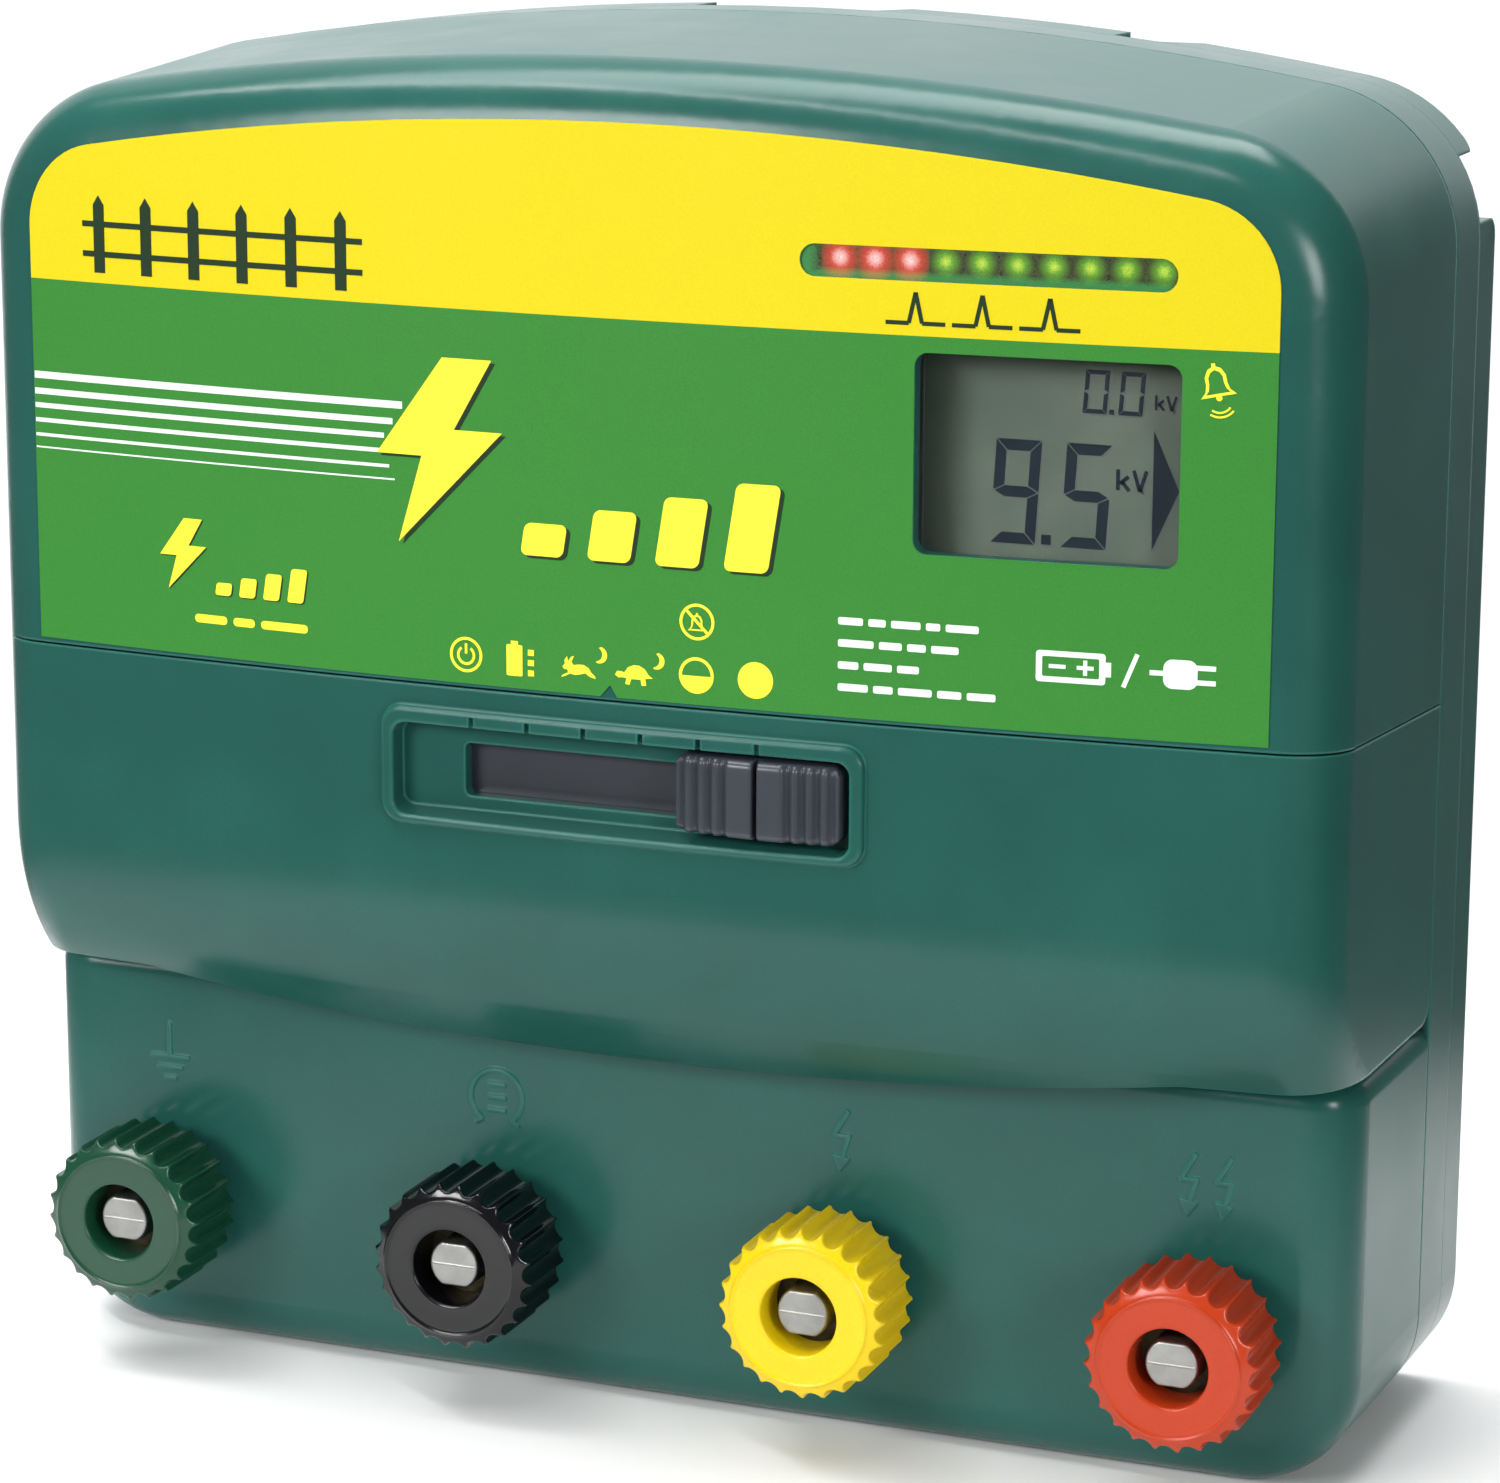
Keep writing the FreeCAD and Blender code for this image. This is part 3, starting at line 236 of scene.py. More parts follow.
def noise(tree, place, size_mm, detail=3.0):
    """Fractal noise whose largest features are about size_mm across."""
    settings = {"Vector": place, "Scale": 1.0 / (size_mm * MM), "Detail": detail}
    return add(tree, "ShaderNodeTexNoise", settings).outputs["Fac"]


def remap(tree, value, low, high, out_low, out_high):
    node = add(tree, "ShaderNodeMapRange", {0: value, 1: low, 2: high, 3: out_low, 4: out_high})
    return node.outputs[0]


def blend_colour(tree, factor, first, second):
    node = add(tree, "ShaderNodeMix", data_type="RGBA", blend_type="MIX")
    for socket, value in ((node.inputs[0], factor), (node.inputs[6], first), (node.inputs[7], second)):
        if isinstance(value, bpy.types.NodeSocket):
            tree.links.new(value, socket)
        else:
            socket.default_value = value
    return node.outputs[2]


def math_node(tree, operation, first, second=0.0):
    return add(tree, "ShaderNodeMath", {0: first, 1: second}, operation=operation).outputs[0]


def dot(tree, first, second):
    node = add(tree, "ShaderNodeVectorMath", {0: first, 1: second}, operation="DOT_PRODUCT")
    return node.outputs["Value"]


def set_colour(tree, principled, colour):
    tree.links.new(colour, principled.inputs["Base Color"])


def set_roughness(tree, principled, mask, low, high, mask_low=0.3, mask_high=0.7):
    tree.links.new(remap(tree, mask, mask_low, mask_high, low, high), principled.inputs["Roughness"])


def set_relief(tree, principled, height, depth_mm, strength=1.0, normal=None):
    """Small relief over the whole surface, added to a rounded normal where one is given."""
    settings = {"Strength": strength, "Distance": depth_mm * MM, "Height": height}
    if normal is not None:
        settings["Normal"] = normal
    tree.links.new(add(tree, "ShaderNodeBump", settings).outputs[0], principled.inputs["Normal"])


EDGE_LIKENESS = (0.996, 0.92)    # dot product of flat and rounded normals, from no edge to a full one


def edge_finish(tree, radius_mm):
    """Rounded normal for small edges, and a mask that is 1 on those edges."""
    rounded_normal = add(tree, "ShaderNodeBevel", {"Radius": radius_mm * MM}, samples=4).outputs[0]
    flat_normal = add(tree, "ShaderNodeNewGeometry").outputs["Normal"]
    likeness = dot(tree, rounded_normal, flat_normal)
    return rounded_normal, remap(tree, likeness, *EDGE_LIKENESS, 0.0, 1.0)


def scaled(colour, factor):
    return tuple(min(1.0, c * factor) for c in colour[:3]) + (1.0,)


def moulded(name, colour, roughness, grain_mm=0.5, grain_depth=0.01, edge_mm=0.35, edge_wear_and_highlight=0.25, mottle=0.08,
            ior=1.45, hollow_painted_shade=0.0):
    """Moulded plastic: grain, soft edges that catch light, mottling, edges lightened in colour as rubbed wear
    and as a painted highlight, and hollows darkened with painted shade.
    """
    material, tree, principled = shader(name, IOR=ior)
    place = object_place(tree)
    fine = noise(tree, place, grain_mm, 4.0)
    broad = noise(tree, place, 28.0, 5.0)
    normal, edges = edge_finish(tree, edge_mm)
    body = blend_colour(tree, remap(tree, broad, 0.35, 0.65, 0.0, 1.0),
                        scaled(colour, 1.0 - mottle), scaled(colour, 1.0 + mottle))
    speck = blend_colour(tree, remap(tree, fine, 0.35, 0.7, 0.0, 0.35), body, scaled(colour, 0.8))
    # Edges lightened in colour: partly rubbed wear, partly a painted highlight along the edges.
    wear_and_painted_light = blend_colour(tree, math_node(tree, "MULTIPLY", edges, edge_wear_and_highlight), speck, scaled(colour, 2.6))
    # Hollows darkened in colour where pointiness is low: painted shade.
    if hollow_painted_shade:
        pointiness = add(tree, "ShaderNodeNewGeometry").outputs["Pointiness"]
        wear_and_painted_light = blend_colour(tree, remap(tree, pointiness, 0.5, 0.44, 0.0, hollow_painted_shade), wear_and_painted_light, scaled(colour, 0.3))
    set_colour(tree, principled, wear_and_painted_light)
    set_roughness(tree, principled, broad, roughness - 0.03, roughness + 0.04)
    set_relief(tree, principled, fine, grain_depth, normal=normal)
    return material


def metal(name, colour, roughness, grain_mm=0.6, grain_depth=0.02, edge_mm=0.25, tarnish=0.25):
    """Metal with a cast or rolled surface, dull patches, and edges lightened in colour as wear and as a
    painted highlight.
    """
    material, tree, principled = shader(name, Metallic=1.0)
    place = object_place(tree)
    fine = noise(tree, place, grain_mm, 5.0)
    broad = noise(tree, place, 6.0, 4.0)
    normal, edges = edge_finish(tree, edge_mm)
    dull = blend_colour(tree, remap(tree, broad, 0.35, 0.7, 0.0, 1.0), scaled(colour, 1.0),
                        scaled(colour, 1.0 - tarnish))
    # Edges lightened in colour: partly wear, partly a painted highlight.
    edges_lit_and_worn = blend_colour(tree, math_node(tree, "MULTIPLY", edges, 0.6), dull, scaled(colour, 1.4))
    set_colour(tree, principled, edges_lit_and_worn)
    set_roughness(tree, principled, fine, roughness - 0.06, roughness + 0.1)
    set_relief(tree, principled, fine, grain_depth, normal=normal)
    return material


def print_ink(name, colour, roughness=0.4):
    """Screen-printed ink with a faint grain."""
    material, tree, principled = shader(name, IOR=1.25)
    fine = noise(tree, object_place(tree), 0.25, 3.0)
    grain = remap(tree, fine, 0.3, 0.75, 0.0, 1.0)
    set_colour(tree, principled, blend_colour(tree, grain, scaled(colour, 1.0), scaled(colour, 0.88)))
    set_roughness(tree, principled, fine, roughness - 0.05, roughness + 0.05)
    set_relief(tree, principled, fine, 0.004, 0.5)
    return material


# ---------------------------------------------------------------- materials
def label_material():
    """Printed sheet, yellow above and green below, with a faint half-tone grain."""
    material, tree, principled = shader("label_sheet", IOR=1.25)
    place = object_place(tree)
    split = add(tree, "ShaderNodeSeparateXYZ", {0: place})
    low, high = (LABEL_SPLIT_Z - 0.04) * MM, (LABEL_SPLIT_Z + 0.04) * MM
    upper = remap(tree, split.outputs["Z"], low, high, 0.0, 1.0)
    fine = noise(tree, place, 0.3, 4.0)
    broad = noise(tree, place, 30.0, 3.0)
    grain = remap(tree, fine, 0.35, 0.7, 0.0, 1.0)
    green = blend_colour(tree, grain, LABEL_GREEN, scaled(LABEL_GREEN, 0.86))
    yellow = blend_colour(tree, grain, LABEL_YELLOW, scaled(LABEL_YELLOW, 0.93))
    set_colour(tree, principled, blend_colour(tree, upper, green, yellow))
    set_roughness(tree, principled, broad, 0.36, 0.44)
    set_relief(tree, principled, fine, 0.006, 0.6)
    return material


def light_bar_material():
    """Smoked lens with a stippled face that spreads each light into a glow."""
    material, tree, principled = shader("smoked_light_bar", Emission_Strength=1.0)
    place = object_place(tree)
    split = add(tree, "ShaderNodeSeparateXYZ", {0: place})
    stipple = noise(tree, place, 0.35, 3.0)
    height = math_node(tree, "SUBTRACT", split.outputs["Z"], LED_Z * MM)
    ragged = math_node(tree, "ADD", distance_to_led(tree, split.outputs["X"], height),
                       remap(tree, stipple, 0.3, 0.7, -0.5 * MM, 0.5 * MM))
    is_green = right_of(tree, split.outputs["X"], LED_REDS - 0.5)
    halo_reach = remap(tree, is_green, 0.0, 1.0, RED_HALO * MM, GREEN_HALO * MM)
    core_reach = remap(tree, is_green, 0.0, 1.0, RED_CORE * MM, GREEN_CORE * MM)
    halo = math_node(tree, "POWER", remap(tree, ragged, halo_reach, 1.1 * MM, 0.0, 1.0), 1.2)
    speckle = remap(tree, stipple, 0.35, 0.6, 0.45, 1.0)
    core = math_node(tree, "MULTIPLY", remap(tree, ragged, core_reach, 0.3 * MM, 0.0, 1.0), speckle)
    halo_colour = blend_colour(tree, is_green, (0.80, 0.003, 0.012, 1), (0.10, 0.36, 0.012, 1))
    core_colour = blend_colour(tree, is_green, (1.0, 0.80, 0.80, 1), (0.62, 0.82, 0.07, 1))
    glow = blend_colour(tree, core, halo_colour, core_colour)
    lit = math_node(tree, "MULTIPLY", halo, right_of(tree, split.outputs["X"], -0.55))
    tree.links.new(blend_colour(tree, lit, (0, 0, 0, 1), glow), principled.inputs["Emission Color"])
    smoke = blend_colour(tree, remap(tree, stipple, 0.35, 0.65, 0.0, 1.0),
                         (0.012, 0.022, 0.006, 1), (0.05, 0.06, 0.018, 1))
    above_or_below = remap(tree, math_node(tree, "ABSOLUTE", height), 1.7 * MM, 2.8 * MM, 0.0, 0.9)
    left_end = remap(tree, split.outputs["X"], (LED_X0 - 3.6) * MM, (LED_X0 - 5.6) * MM, 0.0, 0.9)
    rim = math_node(tree, "MAXIMUM", above_or_below, left_end)
    set_colour(tree, principled, blend_colour(tree, rim, smoke, (0.03, 0.20, 0.05, 1)))
    set_roughness(tree, principled, stipple, 0.25, 0.45)
    set_relief(tree, principled, stipple, 0.03)
    return material


def distance_to_led(tree, x, height):
    """Distance in the face of the lens to the middle of the nearest light."""
    along = math_node(tree, "SUBTRACT", x, (LED_X0 - LED_PITCH / 2) * MM)
    step = math_node(tree, "FLOORED_MODULO", along, LED_PITCH * MM)
    across = math_node(tree, "SUBTRACT", step, LED_PITCH / 2 * MM)
    squares = [math_node(tree, "POWER", offset, 2.0) for offset in (across, height)]
    return math_node(tree, "SQRT", math_node(tree, "ADD", *squares))


def right_of(tree, x, pitches):
    """Rises from 0 to 1 at a place counted in pitches from the first light."""
    start = LED_X0 + pitches * LED_PITCH
    return remap(tree, x, start * MM, (start + LED_STEP * LED_PITCH) * MM, 0.0, 1.0)


def lcd_material():
    """Grey reflective panel, darker towards its left and top edges where the case shades it."""
    material, tree, principled = shader("lcd_reflector", IOR=1.15)
    place = object_place(tree)
    split = add(tree, "ShaderNodeSeparateXYZ", {0: place})
    fine = noise(tree, place, 0.3, 4.0)
    broad = noise(tree, place, 14.0, 2.0)
    tone = blend_colour(tree, remap(tree, broad, 0.35, 0.65, 0.0, 1.0),
                        (0.056, 0.074, 0.058, 1), (0.073, 0.088, 0.070, 1))
    grain = blend_colour(tree, remap(tree, fine, 0.35, 0.7, 0.0, 0.5), tone, (0.046, 0.060, 0.047, 1))
    from_left = remap(tree, split.outputs["X"], LCD_X0 * MM, (LCD_X0 + LCD_SHADE_W) * MM, 0.75, 0.0)
    from_top = remap(tree, split.outputs["Z"], LCD_Z1 * MM, (LCD_Z1 - LCD_SHADE_H) * MM, 0.6, 0.0)
    shade = math_node(tree, "MAXIMUM", from_left, from_top)
    set_colour(tree, principled, blend_colour(tree, shade, grain, (0.012, 0.024, 0.016, 1)))
    set_roughness(tree, principled, fine, 0.4, 0.5)
    return material


def window_material():
    """Clear polished sheet with faint haze."""
    material, tree, principled = shader("clear_window", Base_Color=(0.93, 0.95, 0.94, 1), IOR=1.25,
                                        Transmission_Weight=1.0)
    haze = noise(tree, object_place(tree), 5.0, 4.0)
    set_roughness(tree, principled, haze, 0.0, 0.05, 0.4, 0.7)
    tree.links.new(edge_finish(tree, 0.5)[0], principled.inputs["Normal"])
    return material


def laminated_material():
    """Stacked steel laminations: fine dark lines along the depth."""
    material, tree, principled = shader("laminated_steel", Metallic=0.8)
    place = object_place(tree)
    waves = add(tree, "ShaderNodeTexWave", {"Vector": place, "Scale": 1.0 / (2.0 * MM), "Distortion": 0.4},
                wave_type="BANDS", bands_direction="Y")
    lines = waves.outputs["Fac"]
    set_colour(tree, principled, blend_colour(tree, lines, (0.05, 0.05, 0.055, 1), (0.16, 0.16, 0.17, 1)))
    set_roughness(tree, principled, lines, 0.6, 0.4, 0.0, 1.0)
    set_relief(tree, principled, lines, 0.05, 0.6)
    return material


def board_material():
    """Green solder mask with the relief of copper tracks under it."""
    material, tree, principled = shader("solder_mask", Coat_Weight=0.3)
    place = object_place(tree)
    tracks = add(tree, "ShaderNodeTexBrick", {"Vector": place, "Scale": 60.0, "Mortar Size": 0.03})
    copper = tracks.outputs["Fac"]
    set_colour(tree, principled, blend_colour(tree, copper, (0.012, 0.10, 0.035, 1), (0.03, 0.2, 0.07, 1)))
    set_roughness(tree, principled, noise(tree, place, 3.0), 0.25, 0.4)
    set_relief(tree, principled, copper, 0.03, 0.6)
    return material


CASE_GREEN = (0.0135, 0.081, 0.067, 1)
LABEL_GREEN = (0.039, 0.211, 0.034, 1)
LABEL_YELLOW = (0.66, 0.545, 0.010, 1)

# The edge lightening set in these plastics is partly wear, partly a painted highlight.
case_plastic = moulded("case_plastic", CASE_GREEN, 0.23, grain_mm=0.45, grain_depth=0.004, edge_mm=0.8,
                       edge_wear_and_highlight=0.75, ior=1.34)
# The slider grip and the green knob also get painted shade in their hollows.
slider_plastic = moulded("slider_plastic", (0.036, 0.041, 0.052, 1), 0.30, grain_mm=0.4, edge_mm=0.25,
                         edge_wear_and_highlight=0.6, hollow_painted_shade=0.9)
carrier_plastic = moulded("carrier_plastic", (0.025, 0.030, 0.038, 1), 0.4, grain_mm=0.4, edge_mm=0.25)
black_plastic = moulded("black_plastic", (0.012, 0.012, 0.013, 1), 0.45)
rubber = moulded("seal_rubber", (0.012, 0.013, 0.013, 1), 0.7, grain_mm=0.8, grain_depth=0.02)
knob_paint = {
    "green": moulded("knob_green", (0.006, 0.052, 0.026, 1), 0.22, edge_mm=0.2, edge_wear_and_highlight=0.4, hollow_painted_shade=0.5),
    "black": moulded("knob_black", (0.002, 0.002, 0.003, 1), 0.11, edge_mm=0.2, edge_wear_and_highlight=0.8),
    "yellow": moulded("knob_yellow", (0.70, 0.50, 0.004, 1), 0.24, edge_mm=0.2, edge_wear_and_highlight=0.1, mottle=0.03,
                      ior=1.38),
    "red": moulded("knob_red", (0.40, 0.034, 0.006, 1), 0.22, edge_mm=0.2, edge_wear_and_highlight=0.3, mottle=0.03, ior=1.38),
}
stud_metal = metal("cast_stud", (0.36, 0.36, 0.345, 1), 0.42, grain_mm=0.5, grain_depth=0.03)
steel = metal("zinc_steel", (0.62, 0.62, 0.63, 1), 0.32)
brass = metal("brass", (0.72, 0.50, 0.20, 1), 0.3)
# Brass of the knob inserts made very dark: painted shade deep in the knob bores, over a dull finish.
dull_brass_painted_shade = metal("dull_brass_painted_shade", (0.05, 0.043, 0.025, 1), 0.45, tarnish=0.5)
spring_steel = metal("spring_steel", (0.5, 0.5, 0.52, 1), 0.25, grain_depth=0.005)
magnet_metal = metal("magnet_nickel", (0.42, 0.41, 0.40, 1), 0.22, grain_depth=0.004)
copper_strap = metal("tinned_copper", (0.78, 0.56, 0.42, 1), 0.35)
aluminium = metal("extruded_aluminium", (0.72, 0.73, 0.74, 1), 0.36)
winding_tape = moulded("winding_tape", (0.62, 0.42, 0.06, 1), 0.4, grain_mm=1.2)
capacitor_case = moulded("capacitor_case", (0.03, 0.07, 0.30, 1), 0.35)
led_red_glass = moulded("led_red_body", (0.6, 0.02, 0.02, 1), 0.2)
led_green_glass = moulded("led_green_body", (0.15, 0.5, 0.03, 1), 0.2)

finishes = {
    "rear_shell": case_plastic, "stand_off_rim": case_plastic, "upper_cover": case_plastic,
    "switch_band": case_plastic, "terminal_cover": case_plastic, "case_gasket": rubber,
    "case_screws": steel, "front_label": label_material(), "display_window": window_material(),
    "light_bar_lens": light_bar_material(), "lcd_panel": lcd_material(), "lcd_frame": black_plastic,
    "leds_red": led_red_glass, "leds_green": led_green_glass, "display_board": board_material(),
    "main_board": board_material(), "board_screws": steel, "alarm_buzzer": black_plastic,
    "position_sensors": black_plastic, "pulse_capacitors": capacitor_case,
    "pulse_core": laminated_material(), "pulse_coil": winding_tape, "supply_core": laminated_material(),
    "supply_coil": winding_tape, "heat_sink": aluminium, "thyristor": black_plastic,
    "slide_carrier": carrier_plastic, "slide_magnet": magnet_metal, "detent_spring": spring_steel,
    "base_nuts": steel, "stud_seals": rubber, "lead_nuts": steel, "stud_leads": copper_strap,
    "inlet_socket": black_plastic, "inlet_pins": brass,
}
for colour in COLOURS:
    finishes["insert_" + colour] = dull_brass_painted_shade
    finishes["washer_" + colour] = steel
for name, material in finishes.items():
    if name in nodes:
        nodes[name].data.materials.clear()
        nodes[name].data.materials.append(material)
nodes["display_window"].visible_shadow = False


# ---------------------------------------------------------------- knobs
KNOB_BORE_R = 7.5
KNOB_SEAT_Y = -34.3
KNOB_INSERT_AF = 15.0
FLUTE_R, FLUTE_CENTRE_R = 2.0, 16.9
STEPS_PER_FLUTE = 16
KNOB_TURNS = (4.0, 9.0, 1.0, 6.0)    # how each knob was left, in degrees
# Radius, and distance behind the front, from the fluted rim to the mouth of the bore.
KNOB_FRONT = ((16.55, 2.7), (16.4, 2.25), (16.15, 1.88), (15.85, 1.6), (15.5, 1.36), (15.15, 1.16),
              (14.8, 0.98), (14.45, 0.82), (14.15, 0.66), (13.85, 0.5), (13.62, 0.32), (13.48, 0.12),
              (13.36, 0.0), (13.2, 0.0), (13.08, 0.12), (12.95, 0.2), (12.3, 0.23), (10.5, 0.24),
              (9.0, 0.24), (8.0, 0.26), (7.75, 0.32), (7.58, 0.48), (7.5, 0.75))


def soft_min(a, b, blend):
    """Smaller of two lengths, with the corner between them rounded."""
    h = max(0.0, min(1.0, 0.5 + 0.5 * (b - a) / blend))
    return b + (a - b) * h - blend * h * (1 - h)


def flute_radius(angle):
    """Radius of the fluted side at an angle: concave flutes between narrow rounded ribs."""
    pitch = 2 * math.pi / KNOB_FLUTES
    off = (angle % pitch) - pitch / 2
    reach = FLUTE_R ** 2 - (FLUTE_CENTRE_R * math.sin(off)) ** 2
    if reach <= 0:
        return KNOB_TIP_R
    return soft_min(FLUTE_CENTRE_R * math.cos(off) - math.sqrt(reach), KNOB_TIP_R, 0.3)


def hexagon_radius(angle):
    off = (angle % (math.pi / 3)) - math.pi / 6
    return KNOB_INSERT_AF / 2 / math.cos(off)


def knob_profile():
    """(radius, y, kind) from the hexagon pocket at the back to the bore at the front."""
    profile = [(0, KNOB_SEAT_Y, "hex"), (0, KNOB_BACK_Y, "hex"), (14.6, KNOB_BACK_Y, "flute")]
    profile += [(15.4, KNOB_BACK_Y - 0.1, "flute"), (16.2, KNOB_BACK_Y - 0.5, "flute"),
                (16.5, KNOB_BACK_Y - 0.9, "flute"), (KNOB_TIP_R, KNOB_BACK_Y - 1.4, "flute")]
    profile += [(KNOB_TIP_R, y, "flute") for y in (-30.0, -34.0, -38.0, -40.2)]
    profile += [(r, KNOB_FRONT_Y + y, "flute" if r > 13.5 else "round") for r, y in KNOB_FRONT]
    profile += [(KNOB_BORE_R, -40.0, "round"), (KNOB_BORE_R, KNOB_SEAT_Y, "round")]
    return profile


def knob(colour, index):
    count = KNOB_FLUTES * STEPS_PER_FLUTE
    centre_x = (index - 1.5) * KNOB_PITCH
    phase = math.radians(KNOB_TURNS[index])
    bm = bmesh.new()
    rings = []
    for radius, y, kind in knob_profile():
        points = []
        for i in range(count):
            angle = 2 * math.pi * i / count
            r = radius
            if kind == "hex":
                r = hexagon_radius(angle)
            elif kind == "flute":
                r = soft_min(flute_radius(angle), radius, 0.22)
            turn = angle if kind == "hex" else angle + phase
            points.append((centre_x + r * math.cos(turn), y, KNOB_Z + r * math.sin(turn)))
        rings.append(ring_of(bm, points))
    for ring_a, ring_b in zip(rings, rings[1:]):
        bridge(bm, ring_a, ring_b)
    bridge(bm, rings[-1], rings[0])
    obj = mesh_object("knob_shape_" + colour, bm, knob_paint[colour], 50.0)
    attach(obj, "screw_" + colour)
    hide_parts("knob_" + colour)


for index, colour in enumerate(COLOURS):
    knob(colour, index)


# ---------------------------------------------------------------- terminal studs
STUD_R, STUD_FLAT = 5.0, 4.3
STUD_SECTIONS = ((-40.9, 0.55, True), (-40.86, 0.36, True), (-40.7, 0.17, True), (-40.45, 0.06, True),
                 (-40.1, 0.01, True), (-39.8, 0.0, True), (-23.6, 0.0, True), (-23.6, 0.0, False),
                 (-15.6, 0.0, False), (-15.6, -4.0, False), (-13.1, -4.0, False), (-13.1, 2.0, False),
                 (1.6, 2.0, False), (2.0, 2.4, False))


def stud_points(centre_x, y, inset, flatted, count=96):
    points = []
    for i in range(count):
        angle = 2 * math.pi * (i + 0.5) / count
        radius = STUD_R
        if flatted:
            radius = soft_min(STUD_R, STUD_FLAT / max(0.001, abs(math.sin(angle))), 0.2)
        radius -= inset
        points.append((centre_x + radius * math.cos(angle), y, KNOB_Z + radius * math.sin(angle)))
    return points


def studs():
    bm = bmesh.new()
    for index in range(len(COLOURS)):
        centre_x = (index - 1.5) * KNOB_PITCH
        rings = [ring_of(bm, stud_points(centre_x, *section)) for section in STUD_SECTIONS]
        for ring_a, ring_b in zip(rings, rings[1:]):
            bridge(bm, ring_a, ring_b)
        cap(bm, rings[0], (centre_x, STUD_SECTIONS[0][0], KNOB_Z))
        cap(bm, rings[-1], (centre_x, STUD_SECTIONS[-1][0], KNOB_Z))
        casting_line(bm, centre_x)
    obj = mesh_object("stud_shapes", bm, stud_metal, 40.0)
    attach(obj, "housing")
    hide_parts("terminal_studs")


def casting_line(bm, centre_x):
    """Thin flash line left by the mould across the end of a stud."""
    end_y, half, height = STUD_SECTIONS[0][0], 4.4, 0.13
    section = ((-0.16, 0.06), (-0.07, -height), (0.07, -height), (0.16, 0.06))
    ends = []
    for side in (-1, 1):
        ends.append(ring_of(bm, [(centre_x + side * half, end_y + dy, KNOB_Z + dz) for dz, dy in section]))
    bridge(bm, ends[0], ends[1])
    bm.faces.new(ends[0])
    bm.faces.new(ends[1])


studs()


# ---------------------------------------------------------------- slider grip
GRIP_ROUND = 1.4
GRIP_CORNER = 2.2
GRIP_SWELL = 1.3
RIB_START, RIB_PITCH, RIB_DEPTH, RIB_COUNT = 4.9, 2.75, 1.0, 4
GAP_HALF, GAP_DEPTH, GAP_EDGE = 0.5, 2.7, 0.35


def grip_front(x):
    """Depth of the bowed, ribbed front at a distance x from the middle of the grip."""
    y = GRIP_FRONT_Y + GRIP_SWELL * (x / GRIP_HALF_W) ** 2
    away = abs(x)
    if away < GAP_HALF + GAP_EDGE:
        edge = max(0.0, min(1.0, (GAP_HALF + GAP_EDGE - away) / GAP_EDGE))
        y += GAP_DEPTH if away < GAP_HALF else GAP_EDGE * edge * edge
    if RIB_START < away < RIB_START + RIB_COUNT * RIB_PITCH:
        wave = 0.5 - 0.5 * math.cos(2 * math.pi * (away - RIB_START) / RIB_PITCH)
        y += RIB_DEPTH * wave ** 1.3
    return y


def corner_cut(distance, radius):
    """How far a rounded edge has dropped at a distance from the outline."""
    if distance >= radius:
        return 0.0
    return radius - math.sqrt(max(0.0, radius ** 2 - (radius - distance) ** 2))


def grip_columns():
    step = 0.175
    count = int(round(2 * GRIP_HALF_W / step))
    xs = [-GRIP_HALF_W + 2 * GRIP_HALF_W * i / count for i in range(count + 1)]
    xs += [side * (GRIP_HALF_W - d) for side in (-1, 1) for d in (0.03, 0.09)]
    xs += [side * GAP_HALF * k for side in (-1, 1) for k in (0.999, 1.001)]
    return sorted(set(xs))


def grip_rows():
    from_edge = (0.0, 0.04, 0.12, 0.25, 0.45, 0.7, 1.0, 1.4, 2.2, 3.6, 5.4)
    rows = [1.0 - d / GRIP_HALF_H for d in from_edge]
    return [-r for r in rows] + [0.0] + rows[::-1]


def slider_grip():
    bm = bmesh.new()
    grid = []
    for x in grip_columns():
        to_end = GRIP_HALF_W - abs(x)
        half = GRIP_HALF_H - corner_cut(to_end, GRIP_CORNER)
        column = []
        for row in grip_rows():
            z = row * half
            distance = min(to_end, half - abs(z))
            y = grip_front(x) + corner_cut(distance, GRIP_ROUND)
            column.append(bm.verts.new((GRIP_X + x, min(y, GRIP_BACK_Y - 1.0), GRIP_Z + z)))
        grid.append(column)
    for left, right in zip(grid, grid[1:]):
        for i in range(len(left) - 1):
            bm.faces.new((left[i], left[i + 1], right[i + 1], right[i]))
    rim = [column[0] for column in grid] + grid[-1][1:-1] + [column[-1] for column in grid[::-1]]
    rim += grid[0][-2:0:-1]
    back = [bm.verts.new((v.co.x, GRIP_BACK_Y, v.co.z)) for v in rim]
    bridge(bm, rim, back)
    bm.faces.new(back)
    obj = mesh_object("grip_shape", bm, slider_plastic, 55.0)
    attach(obj, "slider")
    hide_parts("slider_grip")


slider_grip()


# ---------------------------------------------------------------- label print
BOLT = [[(0.53, 1.0), (0.0, 0.47), (0.36, 0.47), (0.17, 0.0), (1.0, 0.62), (0.62, 0.62), (0.92, 1.0)]]
HARE = [[(-3.3, -1.7), (-2.2, -1.3), (-1.5, -0.9), (-0.4, -1.1), (0.6, -0.9), (1.5, -0.6), (2.4, -1.2),
         (3.6, -1.5), (3.4, -1.0), (2.7, -0.4), (2.2, 0.4), (1.2, 0.9), (0.1, 0.9), (-0.8, 0.7), (-1.2, 1.3),
         (-0.7, 2.4), (-1.3, 2.2), (-1.9, 1.3), (-2.1, 2.3), (-2.6, 1.5), (-2.5, 0.9), (-3.0, 0.3),
         (-2.7, -0.1), (-2.0, -0.2), (-1.9, -0.7), (-2.9, -1.2)]]
